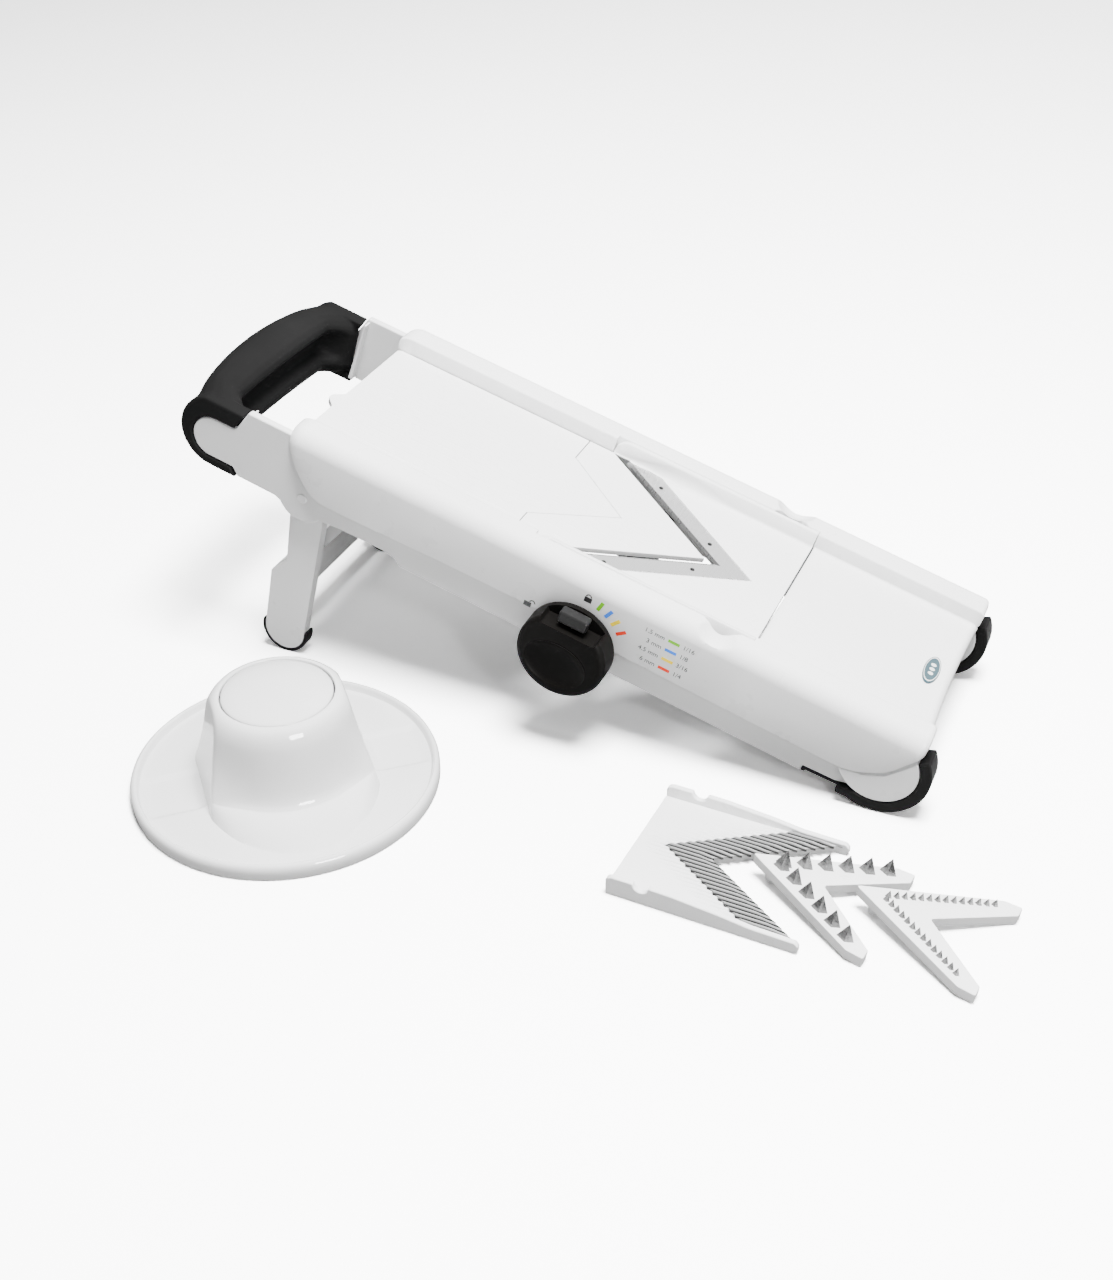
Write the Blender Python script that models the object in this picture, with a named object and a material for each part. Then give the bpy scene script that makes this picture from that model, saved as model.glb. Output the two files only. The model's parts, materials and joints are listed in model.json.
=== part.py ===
"""A V-blade mandoline slicer standing on its folding leg, with its food holder and spare inserts.

The slicer is drawn in its own deck frame and then tilted: u runs along the deck towards the
rear feet, v across it towards the far side, and w square to the deck, which is at w = 0.
The near side, with the thickness knob, is at negative v.  All sizes are metres.
"""
from math import atan2, cos, degrees, pi, radians, sin

import bmesh
import bpy
from mathutils import Matrix

# Overall placing
TILT = radians(16.5)            # slope of the deck when the leg is open
SLICER_X = 0.0759               # where the seam between insert and landing stands
SLICER_Y = 0.0779
GAP = 0.0004                    # clearance between pieces that fit each other

# Deck and upper shell
DECK_LEFT = -0.241
DECK_RIGHT = 0.0905
CHANNEL_HALF = 0.0494           # half of the width between the two rails
POCKET_HALF = 0.0525            # the same where the blade insert sits
INSERT_LEFT = -0.113
SHELL_HALF = 0.0655
SHELL_WALL = 0.0034
RAIL_TOP = 0.0086
RAIL_THICK = 0.003
PLATE = 0.0028                  # thickness of the deck's plates
DISH_U = -0.0160
DISH_V = 0.0550
DISH_R = 0.0090
BADGE_U = 0.0780
BADGE_V = -0.0012
BADGE_HALF_U = 0.0041
BADGE_HALF_V = 0.0110

# Side cheeks and their rear feet
CHEEK_IN = 0.0576
CHEEK_OUT = 0.0617
FOOT_U = 0.0748
FOOT_W = -0.0163
FOOT_R = 0.0247
HUB_R = 0.0189
FOOT_IN = 0.0525
FOOT_OUT = 0.0653
CHEEK_BOTTOM = FOOT_W - FOOT_R
TONGUE_U = -0.281
TONGUE_W = -0.0203
TONGUE_R = 0.0109

SCREW_PLACES = ((-0.224, -0.0125), (-0.092, -0.0125), (0.020, -0.0125))
TIE_PLACES = ((-0.112, -0.034), (0.036, -0.032))
TIE_R = 0.003
TIE_END = 0.0599

# Folding leg and its sliding stay
LEG_U = -0.2283
LEG_W = -0.0292
LEG_SLANT = radians(-6.3)
LEG_FOLD = radians(83.7)
LEG_IN = 0.051
LEG_OUT = 0.0571
LEG_RIGHT = 0.0102
LEG_LEFT = -0.0083
SHOE_X = -0.0066
SHOE_R = 0.0130
TOE_R = 0.0112
PIN_R = 0.0027
STAY_PIN_R = 0.0024
STAY_DOWN = 0.040               # from the leg's pivot down to the stay's pin
STAY_LENGTH = 0.046
STAY_ANGLE = radians(63.0)      # of the stay above the deck's line when the leg is open
STAY_IN = 0.0455
STAY_OUT = 0.0495
ROD_R = 0.0023

# Belly tray with the stay's slots
TRAY_LEFT = -0.213
TRAY_RIGHT = -0.100
TRAY_TOP = -0.0129
TRAY_BOTTOM = -0.0154
RIB_IN = 0.040
RIB_OUT = 0.044
RIB_BOTTOM = -0.0362

# Thickness knob, shaft and cams
KNOB_U = -0.078
KNOB_W = -0.030
KNOB_R = 0.0224
KNOB_BACK = 0.0662
KNOB_FRONT = 0.0806
SHAFT_R = 0.004
CAM_R = 0.012
CAM_DROP = 0.006
CAM_TURN = radians(50.0)
CAM_IN = 0.014
CAM_OUT = 0.020

# V of the blade, the slot before it and the runway's nose
V_SLOPE = 1.434                 # how far an edge runs back along u for each unit of v
SEAM_U = -0.1266
SEAM_HALF = 0.030
SEAM_TIP = -0.088
NOSE_TIP = -0.0425
BLADE_INNER = -0.037
BLADE_OUTER = -0.0176
BLADE_HALF = 0.047

# Spare insert with the waved blade
WAVY_X = -0.0240 + SLICER_X
WAVY_Y = -0.1290 + SLICER_Y
WAVY_HALF = 0.0355
WAVY_LENGTH = 0.0870
WAVY_TIP = 0.0330
WAVY_SLOPE = 1.50

# Spare inserts with cutting teeth
JULIENNE_PLACES = (("coarse", 0.0298, -0.1275, 6, 0.0062), ("fine", 0.0766, -0.1300, 13, 0.0028))
JULIENNE_TURN = radians(-7.5)
JULIENNE_PITCH = radians(6.0)
JULIENNE_LIFT = 0.0119
JULIENNE_OUTER = 1.93           # how far the outer edges run for each unit of width
JULIENNE_INNER = 1.30
JULIENNE_LENGTH = 0.0640
JULIENNE_SHOULDER = 0.0560
JULIENNE_ARM = 0.0335           # from the outer to the inner tip of its V
TOOTH_IN = 0.0150
TOOTH_OUT = 0.0080
TOOTH_SLOPE = 1.78

# Food holder
HOLDER_X = -0.1941 + SLICER_X
HOLDER_Y = -0.1491 + SLICER_Y
BRIM_R = 0.0725
CAP_R = 0.0262
GUIDE_BOTTOM = 0.0415
PRONG_PLATE_BOTTOM = 0.0145
PRONG_PLATE_TOP = 0.0177

DECK_H = FOOT_R + FOOT_U * sin(TILT) - FOOT_W * cos(TILT)
SIDES = (("near", -1), ("far", 1))

COLOURS = {
    "white_plastic": ((0.86, 0.86, 0.85), 0.35, 0.0),
    "gloss_plastic": ((0.88, 0.88, 0.87), 0.15, 0.0),
    "black_grip": ((0.02, 0.02, 0.02), 0.6, 0.0),
    "black_rubber": ((0.015, 0.015, 0.015), 0.75, 0.0),
    "dark_button": ((0.05, 0.05, 0.055), 0.4, 0.0),
    "steel": ((0.62, 0.62, 0.62), 0.25, 1.0),
    "grey_plastic": ((0.35, 0.36, 0.37), 0.5, 0.0),
    "badge": ((0.25, 0.42, 0.48), 0.35, 0.0),
}


# ---------------------------------------------------------------- helpers

def material(name):
    """The Principled material of this name, made once."""
    found = bpy.data.materials.get(name)
    if found:
        return found
    colour, roughness, metallic = COLOURS[name]
    made = bpy.data.materials.new(name)
    made.use_nodes = True
    shader = made.node_tree.nodes["Principled BSDF"]
    shader.inputs["Base Color"].default_value = (*colour, 1.0)
    shader.inputs["Roughness"].default_value = roughness
    shader.inputs["Metallic"].default_value = metallic
    return made


def empty(name, parent, location, turn_y=0.0, turn_z=0.0):
    """A frame that pieces hang on."""
    frame = bpy.data.objects.new(name, None)
    frame.parent = parent
    frame.location = location
    frame.rotation_euler = (0.0, turn_y, turn_z)
    bpy.context.collection.objects.link(frame)
    return frame


def from_bmesh(bm, name, parent, finish):
    """Turns a bmesh into a named object with its faces pointing out."""
    bmesh.ops.recalc_face_normals(bm, faces=bm.faces)
    mesh = bpy.data.meshes.new(name)
    bm.to_mesh(mesh)
    bm.free()
    piece = bpy.data.objects.new(name, mesh)
    piece.parent = parent
    mesh.materials.append(material(finish))
    bpy.context.collection.objects.link(piece)
    return piece


def extruded(name, outline, low, high, across, parent, finish):
    """A prism: the outline's two coordinates, swept from low to high along the third axis."""
    def place(a, b, c):
        return (a, c, b) if across == "v" else (a, b, c)
    bm = bmesh.new()
    base = [bm.verts.new(place(a, b, low)) for a, b in outline]
    top = [bm.verts.new(place(a, b, high)) for a, b in outline]
    bm.faces.new(base)
    bm.faces.new(reversed(top))
    for i in range(len(outline)):
        j = (i + 1) % len(outline)
        bm.faces.new((base[j], base[i], top[i], top[j]))
    return from_bmesh(bm, name, parent, finish)


def side_prism(name, outline, v_in, v_out, side, parent, finish):
    """A prism of a (u, w) outline, between two distances from the middle plane on one side."""
    low, high = sorted((side * v_in, side * v_out))
    return extruded(name, outline, low, high, "v", parent, finish)


def slab(name, outline, w_low, w_high, parent, finish):
    """A flat plate of a (u, v) outline."""
    return extruded(name, outline, w_low, w_high, "w", parent, finish)


def block(name, u, v, w, parent, finish):
    """A box between the two values given for each axis."""
    outline = [(u[0], v[0]), (u[1], v[0]), (u[1], v[1]), (u[0], v[1])]
    return slab(name, outline, w[0], w[1], parent, finish)


def arc(cx, cy, radius, start, end, steps):
    """Points of an arc, with its angles in degrees."""
    angles = [radians(start + (end - start) * i / steps) for i in range(steps + 1)]
    return [(cx + radius * cos(a), cy + radius * sin(a)) for a in angles]


def circle(cx, cy, radius, steps=24):
    """Points all round a circle."""
    return arc(cx, cy, radius, 0.0, 360.0 - 360.0 / steps, steps - 1)


def round_bar(name, centre, radius, v_low, v_high, parent, finish, steps=20):
    """A round bar across the deck."""
    return extruded(name, circle(*centre, radius, steps), v_low, v_high, "v", parent, finish)


def turned(name, profile, parent, finish, steps=40):
    """A closed (r, z) profile turned round the local z axis; a point on the axis has r = 0."""
    bm = bmesh.new()
    rings = []
    for r, z in profile:
        if r == 0.0:
            rings.append([bm.verts.new((0.0, 0.0, z))])
            continue
        turns = [2.0 * pi * i / steps for i in range(steps)]
        rings.append([bm.verts.new((r * cos(a), r * sin(a), z)) for a in turns])
    for ring, other in zip(rings, rings[1:] + rings[:1]):
        for i in range(steps):
            j = (i + 1) % steps
            corners = [ring[i % len(ring)], ring[j % len(ring)], other[j % len(other)], other[i % len(other)]]
            unique = list(dict.fromkeys(corners))
            if len(unique) > 2:
                bm.faces.new(unique)
    return from_bmesh(bm, name, parent, finish)


def combine(target, tool, operation):
    """Joins, cuts or crosses the target with the tool, which is used up."""
    change = target.modifiers.new(operation, "BOOLEAN")
    change.operation = operation
    change.object = tool
    bpy.context.view_layer.update()
    depsgraph = bpy.context.evaluated_depsgraph_get()
    result = bpy.data.meshes.new_from_object(target.evaluated_get(depsgraph))
    target.modifiers.clear()
    old = target.data
    target.data = result
    result.name = target.name
    bpy.data.meshes.remove(old)
    bpy.data.objects.remove(tool)
    return target


def join(target, *tools):
    for tool in tools:
        combine(target, tool, "UNION")
    return target


def cut(target, *tools):
    for tool in tools:
        combine(target, tool, "DIFFERENCE")
    return target


def v_band(inner_tip, outer_tip, half, slope):
    """A V-shaped band in (u, v), open towards negative u and cut off at the half width."""
    return [
        (inner_tip, 0.0),
        (inner_tip - slope * half, half),
        (outer_tip - slope * half, half),
        (outer_tip, 0.0),
        (outer_tip - slope * half, -half),
        (inner_tip - slope * half, -half),
    ]


# ---------------------------------------------------------------- upper shell

def wall_outline(margin=0.0):
    """Side wall of the shell in (u, w); the margin lowers its bottom edge for a neighbour."""
    m = margin
    left_top = arc(DECK_LEFT + 0.004, RAIL_TOP - 0.004, 0.004, 180.0, 90.0, 4)
    right_top = arc(DECK_RIGHT - 0.003, RAIL_TOP - 0.003, 0.003, 90.0, 0.0, 3)
    end = [(0.0885 + m, -0.0033 - m), (0.0815 + m, -0.0150 - m), (0.0750, -0.0205 - m), (0.062, -0.0262 - m)]
    bottom = [(-0.0525, -0.0254 - m), (-0.0980, -0.0226 - m), (-0.150, -0.0231 - m), (-0.206, -0.0250 - m)]
    corner = [(-0.2203, -0.0248), (-0.2262, -0.0205), (-0.2375, -0.0060)]
    return left_top + right_top + end + bottom + corner


def rail_strip(inner, pocket, outer, outer_pocket, left, right):
    """One rail in (u, v), stepped out where the blade insert's side walls sit."""
    return [
        (left, outer),
        (INSERT_LEFT - 0.003, outer),
        (INSERT_LEFT - 0.003, outer_pocket),
        (0.003, outer_pocket),
        (0.003, outer),
        (right, outer),
        (right, inner),
        (0.0001, inner),
        (0.0001, pocket),
        (INSERT_LEFT - GAP, pocket),
        (INSERT_LEFT - GAP, inner),
        (left, inner),
    ]


def mirrored(outline, side):
    return [(u, side * v) for u, v in outline]


def upper_shell(deck):
    """Rails, side walls and landing of the white body, with the finger dishes."""
    left, right = DECK_LEFT, DECK_RIGHT
    half = CHANNEL_HALF + 0.0006
    shell = block("upper_shell", (0.0001, right), (-half, half), (-PLATE, 0.0), deck, "white_plastic")
    join(shell, block("lip", (right - 0.003, right), (-half, half), (-0.009, -0.001), deck, "white_plastic"))
    join(shell, block("tie", (-0.238, -0.230), (-0.0518, 0.0518), (-0.018, -0.0133), deck, "white_plastic"))
    top = rail_strip(CHANNEL_HALF, POCKET_HALF, SHELL_HALF, SHELL_HALF, left, right)
    inner = rail_strip(CHANNEL_HALF, POCKET_HALF, 0.052, 0.0551, left + 0.0015, right - 0.0015)
    for name, side in SIDES:
        rail = slab("rail", mirrored(top, side), RAIL_TOP - RAIL_THICK, RAIL_TOP, deck, "white_plastic")
        web = slab("web", mirrored(inner, side), -0.012, RAIL_TOP - 0.001, deck, "white_plastic")
        wall = side_prism("wall", wall_outline(), SHELL_HALF - SHELL_WALL, SHELL_HALF, side, deck, "white_plastic")
        tie_v = sorted((side * 0.0495, side * 0.0519))
        tie_end = block("tie_end", (-0.238, -0.230), tie_v, (-0.0178, -0.011), deck, "white_plastic")
        cup = slab("cup", circle(DISH_U, side * DISH_V, 0.0108), -0.005, RAIL_TOP - 0.0005, deck, "white_plastic")
        pocket_v = sorted((side * 0.030, side * POCKET_HALF))
        pocket = block("pocket", (INSERT_LEFT - GAP, 0.0001), pocket_v, (-0.011, 0.02), deck, "white_plastic")
        cut(cup, pocket)
        join(shell, rail, wall, web, tie_end, cup)
        cut(shell, slab("dish", circle(DISH_U, side * DISH_V, DISH_R), -0.003, 0.02, deck, "white_plastic"))
        for u_low, u_high in ((-0.072, -0.045), (-0.018, -0.003)):
            ledge_v = sorted((side * 0.0475, side * 0.0535))
            join(shell, block("ledge", (u_low, u_high), ledge_v, (-0.0075, -0.0044), deck, "white_plastic"))
        for u, w in SCREW_PLACES:
            hole = side_prism("hole", circle(u, w, 0.0016, 10), 0.060, 0.0641, side, deck, "white_plastic")
            cut(shell, hole)


def shell_screws(deck):
    """Screws that hold the cheeks to the shell from inside."""
    for name, side in SIDES:
        for number, (u, w) in enumerate(SCREW_PLACES, start=1):
            node = f"shell_screw_{name}_{number}"
            head = side_prism(node, circle(u, w, 0.0026, 12), 0.0555, 0.0572, side, deck, "steel")
            join(head, side_prism("shank", circle(u, w, 0.0013, 8), 0.0565, 0.0636, side, deck, "steel"))


# ---------------------------------------------------------------- cheeks, feet and handle

def cheek_outline():
    """Side plate from the handle's tongue to the hub of the rear foot, in (u, w)."""
    tongue = arc(TONGUE_U, TONGUE_W, TONGUE_R, 270.0, 90.0, 12)
    shoulder = [(-0.2697, -0.0094), (-0.2640, 0.0032), (-0.2360, 0.0032), (-0.2320, -0.0080), (0.0580, -0.0080)]
    hub = arc(FOOT_U, FOOT_W, HUB_R, 140.0, -105.0, 20)
    sole = [(0.0600, -0.0372), (0.0440, -0.0378), (0.0440, CHEEK_BOTTOM), (-0.1720, CHEEK_BOTTOM + 0.0004)]
    step = [(-0.1745, -0.0375), (-0.1820, -0.0360), (-0.2060, -0.0362)]
    lobe = arc(LEG_U, LEG_W, 0.0136, -38.0, -146.0, 9)
    arm = [(-0.2430, -0.0354), (-0.2645, -0.0352), (-0.2680, TONGUE_W - TONGUE_R)]
    return tongue + shoulder + hub + sole + step + lobe + arm


def cheeks(deck):
    for name, side in SIDES:
        cheek = side_prism(f"{name}_cheek", cheek_outline(), CHEEK_IN, CHEEK_OUT, side, deck, "white_plastic")
        hub = circle(FOOT_U, FOOT_W, HUB_R - 0.00005, 36)
        join(cheek, side_prism("hub_in", hub, FOOT_IN, CHEEK_OUT - 0.001, side, deck, "white_plastic"))
        crescent = side_prism("hub_out", hub, CHEEK_OUT - 0.001, FOOT_OUT, side, deck, "white_plastic")
        under = [(u, w) for u, w in wall_outline(0.0005)]
        cut(crescent, side_prism("clear", under, CHEEK_OUT + 0.00005, 0.07, side, deck, "white_plastic"))
        join(cheek, crescent)
        holes = [((LEG_U, LEG_W), PIN_R + 0.00035, 16, CHEEK_OUT + 0.0003)]
        holes += [((KNOB_U, KNOB_W), 0.0063, 24, CHEEK_OUT + 0.0003)]
        holes += [(place, 0.0016, 10, CHEEK_OUT + 0.0003) for place in SCREW_PLACES]
        holes += [(place, TIE_R + 0.0004, 16, TIE_END + 0.0004) for place in TIE_PLACES]
        for centre, radius, steps, depth in holes:
            drill = circle(*centre, radius, steps)
            cut(cheek, side_prism("drill", drill, 0.050, depth, side, deck, "white_plastic"))


def tie_rods(deck):
    """Two rods that keep the cheeks apart."""
    for name, centre in zip(("front_tie_rod", "rear_tie_rod"), TIE_PLACES):
        round_bar(name, centre, TIE_R, -TIE_END, TIE_END, deck, "steel")


def rear_feet(deck):
    """Rubber tyre round each rear hub, running on as a thin hooked strip along the cheek."""
    outer = arc(FOOT_U, FOOT_W, FOOT_R, 40.0, -106.0, 24)
    strip = [(0.0675, -0.0395), (0.0462, -0.0401), (0.0455, CHEEK_BOTTOM - 0.0002), (0.0444, CHEEK_BOTTOM - 0.0002)]
    top = [(0.0444, -0.0382), (0.0600, -0.0376)]
    inner = arc(FOOT_U, FOOT_W, HUB_R + 0.00035, -104.0, 40.0, 22)
    for name, side in SIDES:
        outline = outer + strip + top + inner
        side_prism(f"{name}_foot_tyre", outline, FOOT_IN + 0.0001, FOOT_OUT, side, deck, "black_rubber")


def grip_section(v, steps=20):
    """Rounded section of the handle at one place across the deck."""
    reach = 0.0572
    t = max(0.0, min(1.0, (abs(v) / reach - 0.55) / 0.45))
    blend = t * t * (3.0 - 2.0 * t)
    centre_u = -0.2893 + 0.0069 * blend
    radius_u = 0.0125 + 0.0042 * blend
    centre_w = -0.0162 - 0.0015 * blend
    radius_w = 0.0170 + 0.0010 * blend
    points = []
    for i in range(steps):
        a = 2.0 * pi * i / steps
        c, s = cos(a), sin(a)
        u = centre_u + radius_u * abs(c) ** 0.8 * (1.0 if c > 0 else -1.0)
        w = centre_w + radius_w * abs(s) ** 0.8 * (1.0 if s > 0 else -1.0)
        points.append((u, v, w))
    return points


def handle_grip(deck):
    """Black grip: a bowed bar whose ends wrap round the tongues of the cheeks."""
    reach = 0.0572
    count = 15
    bm = bmesh.new()
    rings = []
    for i in range(count):
        v = -reach + 2.0 * reach * i / (count - 1)
        rings.append([bm.verts.new(p) for p in grip_section(v)])
    for ring, other in zip(rings, rings[1:]):
        for i in range(len(ring)):
            j = (i + 1) % len(ring)
            bm.faces.new((ring[i], ring[j], other[j], other[i]))
    bm.faces.new(rings[0])
    bm.faces.new(reversed(rings[-1]))
    grip = from_bmesh(bm, "handle_grip", deck, "black_grip")
    outer = [(-0.2662, 0.0003)] + arc(-0.2800, -0.0168, 0.0192, 115.0, 270.0, 16)
    lower = [(-0.2658, -0.0360), (-0.2690, TONGUE_W - TONGUE_R - 0.0004)]
    hollow = arc(TONGUE_U, TONGUE_W, TONGUE_R + 0.0004, 270.0, 90.0, 12)
    upper = [(-0.2702, -0.0090)]
    for name, side in SIDES:
        band = outer + lower + hollow + upper
        join(grip, side_prism("band", band, 0.054, 0.0623, side, deck, "black_grip"))


def badge(deck):
    """Plain oval badge near the landing's end."""
    outline = [(BADGE_U + BADGE_HALF_U * u, BADGE_V + BADGE_HALF_V * v) for u, v in circle(0.0, 0.0, 1.0, 32)]
    slab("landing_badge", outline, 0.0003, 0.0010, deck, "badge")


# ---------------------------------------------------------------- leg, stay and belly tray

def stay_pin_path(turn):
    """Where the stay's upper rod is, in (u, w), once the leg has turned by this angle."""
    leg = -pi / 2.0 - LEG_SLANT + turn
    stay = STAY_ANGLE * (1.0 - turn / LEG_FOLD)
    u = LEG_U + STAY_DOWN * cos(leg) + STAY_LENGTH * cos(stay)
    w = LEG_W + STAY_DOWN * sin(leg) + STAY_LENGTH * sin(stay)
    return u, w


def slot_outline(half_width, steps=8):
    """Outline of the curved slot that the stay's rod runs along."""
    centres = [stay_pin_path(LEG_FOLD * i / steps) for i in range(steps + 1)]
    def heading(i):
        a, b = centres[max(0, i - 1)], centres[min(steps, i + 1)]
        return degrees(atan2(b[1] - a[1], b[0] - a[0]))
    upper = []
    lower = []
    for i, (u, w) in enumerate(centres):
        a = radians(heading(i) + 90.0)
        upper.append((u + half_width * cos(a), w + half_width * sin(a)))
        lower.append((u - half_width * cos(a), w - half_width * sin(a)))
    start = arc(*centres[0], half_width, heading(0) + 270.0, heading(0) + 90.0, 6)[1:-1]
    end = arc(*centres[-1], half_width, heading(steps) + 90.0, heading(steps) - 90.0, 6)[1:-1]
    return upper + end + lower[::-1] + start


def belly_tray(deck):
    """Tray under the runway, with a slotted rib each side for the stay's rod."""
    span = (-CHEEK_IN + GAP, CHEEK_IN - GAP)
    tray = block("belly_tray", (TRAY_LEFT, TRAY_RIGHT), span, (TRAY_BOTTOM, TRAY_TOP), deck, "white_plastic")
    rib = [
        (-0.2095, TRAY_BOTTOM + 0.001),
        (-0.2095, -0.0325),
        (-0.2050, RIB_BOTTOM),
        (-0.1410, RIB_BOTTOM),
        (-0.1365, -0.0325),
        (-0.1365, TRAY_BOTTOM + 0.001),
    ]
    for name, side in SIDES:
        wall = side_prism("rib", rib, RIB_IN, RIB_OUT, side, deck, "white_plastic")
        cut(wall, side_prism("slot", slot_outline(ROD_R + 0.0005), 0.038, 0.046, side, deck, "white_plastic"))
        join(tray, wall)


def shoe_centre():
    """Centre of the leg's round end, in its own (x, z), with the shoe standing on the floor."""
    lean = TILT + LEG_SLANT
    pivot_height = DECK_H - LEG_U * sin(TILT) + LEG_W * cos(TILT)
    return SHOE_X, (SHOE_R - pivot_height + SHOE_X * sin(lean)) / cos(lean)


def leg_outline():
    """Leg plate in (x, z) from its pivot, wider on its left below the knee."""
    cx, cz = shoe_centre()
    head = arc(0.0, 0.0, 0.010, 146.0, 25.0, 8)
    right = [(LEG_RIGHT, -0.008)]
    toe = arc(cx, cz, TOE_R, 0.0, -180.0, 14)
    knee = [(cx - TOE_R + 0.0012, -0.053), (LEG_LEFT, -0.044)]
    return head + right + toe + knee


def shoe_outline():
    """Rubber shoe round the bottom of the leg plate."""
    cx, cz = shoe_centre()
    return arc(cx, cz, SHOE_R, 12.0, -192.0, 18) + arc(cx, cz, TOE_R + GAP, -192.0, 12.0, 18)


def folding_leg(deck):
    """U-shaped leg with its shoes; the frame's origin is on the pivot."""
    frame = empty("leg_axis", deck, (LEG_U, 0.0, LEG_W), LEG_SLANT)
    plate_v = 0.5 * (LEG_IN + LEG_OUT)
    bar_x = (-0.0160, -0.0088)
    leg = block("leg_frame", bar_x, (-plate_v, plate_v), (-0.078, -0.052), frame, "white_plastic")
    for name, side in SIDES:
        plate = side_prism("plate", leg_outline(), LEG_IN, LEG_OUT, side, frame, "white_plastic")
        join(leg, plate)
        for z, radius, depth in ((0.0, PIN_R, LEG_OUT + 0.001), (-STAY_DOWN, STAY_PIN_R, LEG_OUT - 0.0011)):
            drill = circle(0.0, z, radius + 0.00035, 16)
            cut(leg, side_prism("drill", drill, LEG_IN - 0.002, depth, side, frame, "white_plastic"))
        side_prism(f"leg_shoe_{name}", shoe_outline(), LEG_IN - 0.001, LEG_OUT + 0.0001, side, frame, "black_rubber")
        pin = circle(0.0, -STAY_DOWN, STAY_PIN_R, 14)
        side_prism(f"stay_pin_{name}", pin, STAY_IN - 0.0003, LEG_OUT - 0.0015, side, frame, "steel")
        pivot = circle(LEG_U, LEG_W, PIN_R, 16)
        side_prism(f"leg_pin_{name}", pivot, LEG_IN - 0.0006, CHEEK_OUT + 0.0006, side, deck, "grey_plastic")


def stay(deck):
    """Pair of stay links and the rod that joins them through the belly tray's slots."""
    leg = -pi / 2.0 - LEG_SLANT
    foot_u = LEG_U + STAY_DOWN * cos(leg)
    foot_w = LEG_W + STAY_DOWN * sin(leg)
    frame = empty("stay_axis", deck, (foot_u, 0.0, foot_w), -STAY_ANGLE)
    lower_end = arc(0.0, 0.0, 0.0048, 40.0, 320.0, 11)
    upper_end = arc(STAY_LENGTH, 0.0, 0.0048, -140.0, 140.0, 11)
    outline = lower_end + upper_end
    for name, side in SIDES:
        link = side_prism(f"stay_link_{name}", outline, STAY_IN, STAY_OUT, side, frame, "white_plastic")
        for x, radius in ((0.0, 0.00275), (STAY_LENGTH, ROD_R + 0.00035)):
            drill = circle(x, 0.0, radius, 18)
            cut(link, side_prism("drill", drill, 0.044, 0.051, side, frame, "white_plastic"))
    round_bar("stay_slide_rod", (STAY_LENGTH, 0.0), ROD_R, -STAY_OUT, STAY_OUT, frame, "steel", 16)


# ---------------------------------------------------------------- knob, shaft, cams and latch

def cam_outline(steps=48):
    """Cam in (x, z): a dwell, then a fall over the turn that opens the thickness."""
    points = []
    for i in range(steps):
        angle = -180.0 + 360.0 * i / steps
        if 0.0 <= angle <= 90.0:
            radius = CAM_R
        elif angle < 0.0:
            radius = CAM_R - CAM_DROP * min(1.0, radians(-angle) / CAM_TURN)
        else:
            radius = CAM_R - CAM_DROP * (angle - 90.0) / 90.0
        points.append((radius * sin(radians(angle)), radius * cos(radians(angle))))
    return points


def knob_group(deck):
    """Knob on the near side, its shaft and cams; the frame's origin is on the knob's axis."""
    frame = empty("knob_axis", deck, (KNOB_U, 0.0, KNOB_W))
    steps = 40
    profile = [
        (0.0, -KNOB_BACK),
        (KNOB_R, -KNOB_BACK),
        (KNOB_R - 0.0003, -KNOB_BACK - 0.009),
        (KNOB_R - 0.0008, -KNOB_FRONT + 0.0022),
        (KNOB_R - 0.0022, -KNOB_FRONT),
        (0.0, -KNOB_FRONT),
    ]
    knob = turned("thickness_knob", profile, frame, "black_grip", steps)
    knob.data.transform(Matrix.Rotation(-pi / 2.0, 4, "X"))
    seat = block("seat", (-0.0078, 0.0078), (-0.0788, -0.0712), (0.0150, 0.030), frame, "black_grip")
    cut(knob, seat)
    scoop = turned("scoop", [(0.0, 0.0), (0.0120, 0.0), (0.0085, 0.0034), (0.0, 0.0044)], frame, "black_grip", 24)
    scoop.data.transform(Matrix.Rotation(-pi / 2.0, 4, "X"))
    scoop.data.transform(Matrix.Translation((0.0, -KNOB_FRONT - 0.0005, -0.003)))
    cut(knob, scoop)
    bore = circle(0.0, 0.0, SHAFT_R + 0.0003, 20)
    cut(knob, side_prism("bore", bore, 0.060, 0.0741, -1, frame, "black_grip"))
    button = block("knob_button", (-0.0073, 0.0073), (-0.0783, -0.0717), (0.0170, 0.0238), frame, "dark_button")
    soften(button, 0.0008)
    round_bar("knob_shaft", (0.0, 0.0), SHAFT_R, -0.0738, 0.0612, frame, "grey_plastic")
    for name, side in SIDES:
        cam = side_prism(f"lift_cam_{name}", cam_outline(), CAM_IN, CAM_OUT, side, frame, "grey_plastic")
        cut(cam, side_prism("bore", bore, 0.010, 0.024, side, frame, "grey_plastic"))
        ring(f"shaft_bush_{name}", 0.0059, SHAFT_R + 0.0003, 0.0573, 0.0619, side, frame)
    ring("shaft_clip", 0.0066, SHAFT_R + 0.0003, 0.0557, 0.0567, 1, frame)
    collar = ring("lock_collar", 0.0080, SHAFT_R + 0.0003, 0.0507, 0.0569, -1, frame)
    lug = [(-0.0025, 0.006), (0.0025, 0.006), (0.0018, 0.0123), (-0.0018, 0.0123)]
    join(collar, side_prism("lug", lug, 0.0509, 0.0559, -1, frame, "grey_plastic"))


def ring(name, outer, inner, v_in, v_out, side, parent):
    """A flat ring round the knob's axis."""
    piece = side_prism(name, circle(0.0, 0.0, outer, 24), v_in, v_out, side, parent, "grey_plastic")
    low, high = v_in - 0.001, v_out + 0.001
    return cut(piece, side_prism("bore", circle(0.0, 0.0, inner, 20), low, high, side, parent, "grey_plastic"))


def soften(piece, width):
    """Rounds a piece's edges."""
    bevel = piece.modifiers.new("edges", "BEVEL")
    bevel.width = width
    bevel.segments = 1
    bevel.limit_method = "ANGLE"


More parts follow.
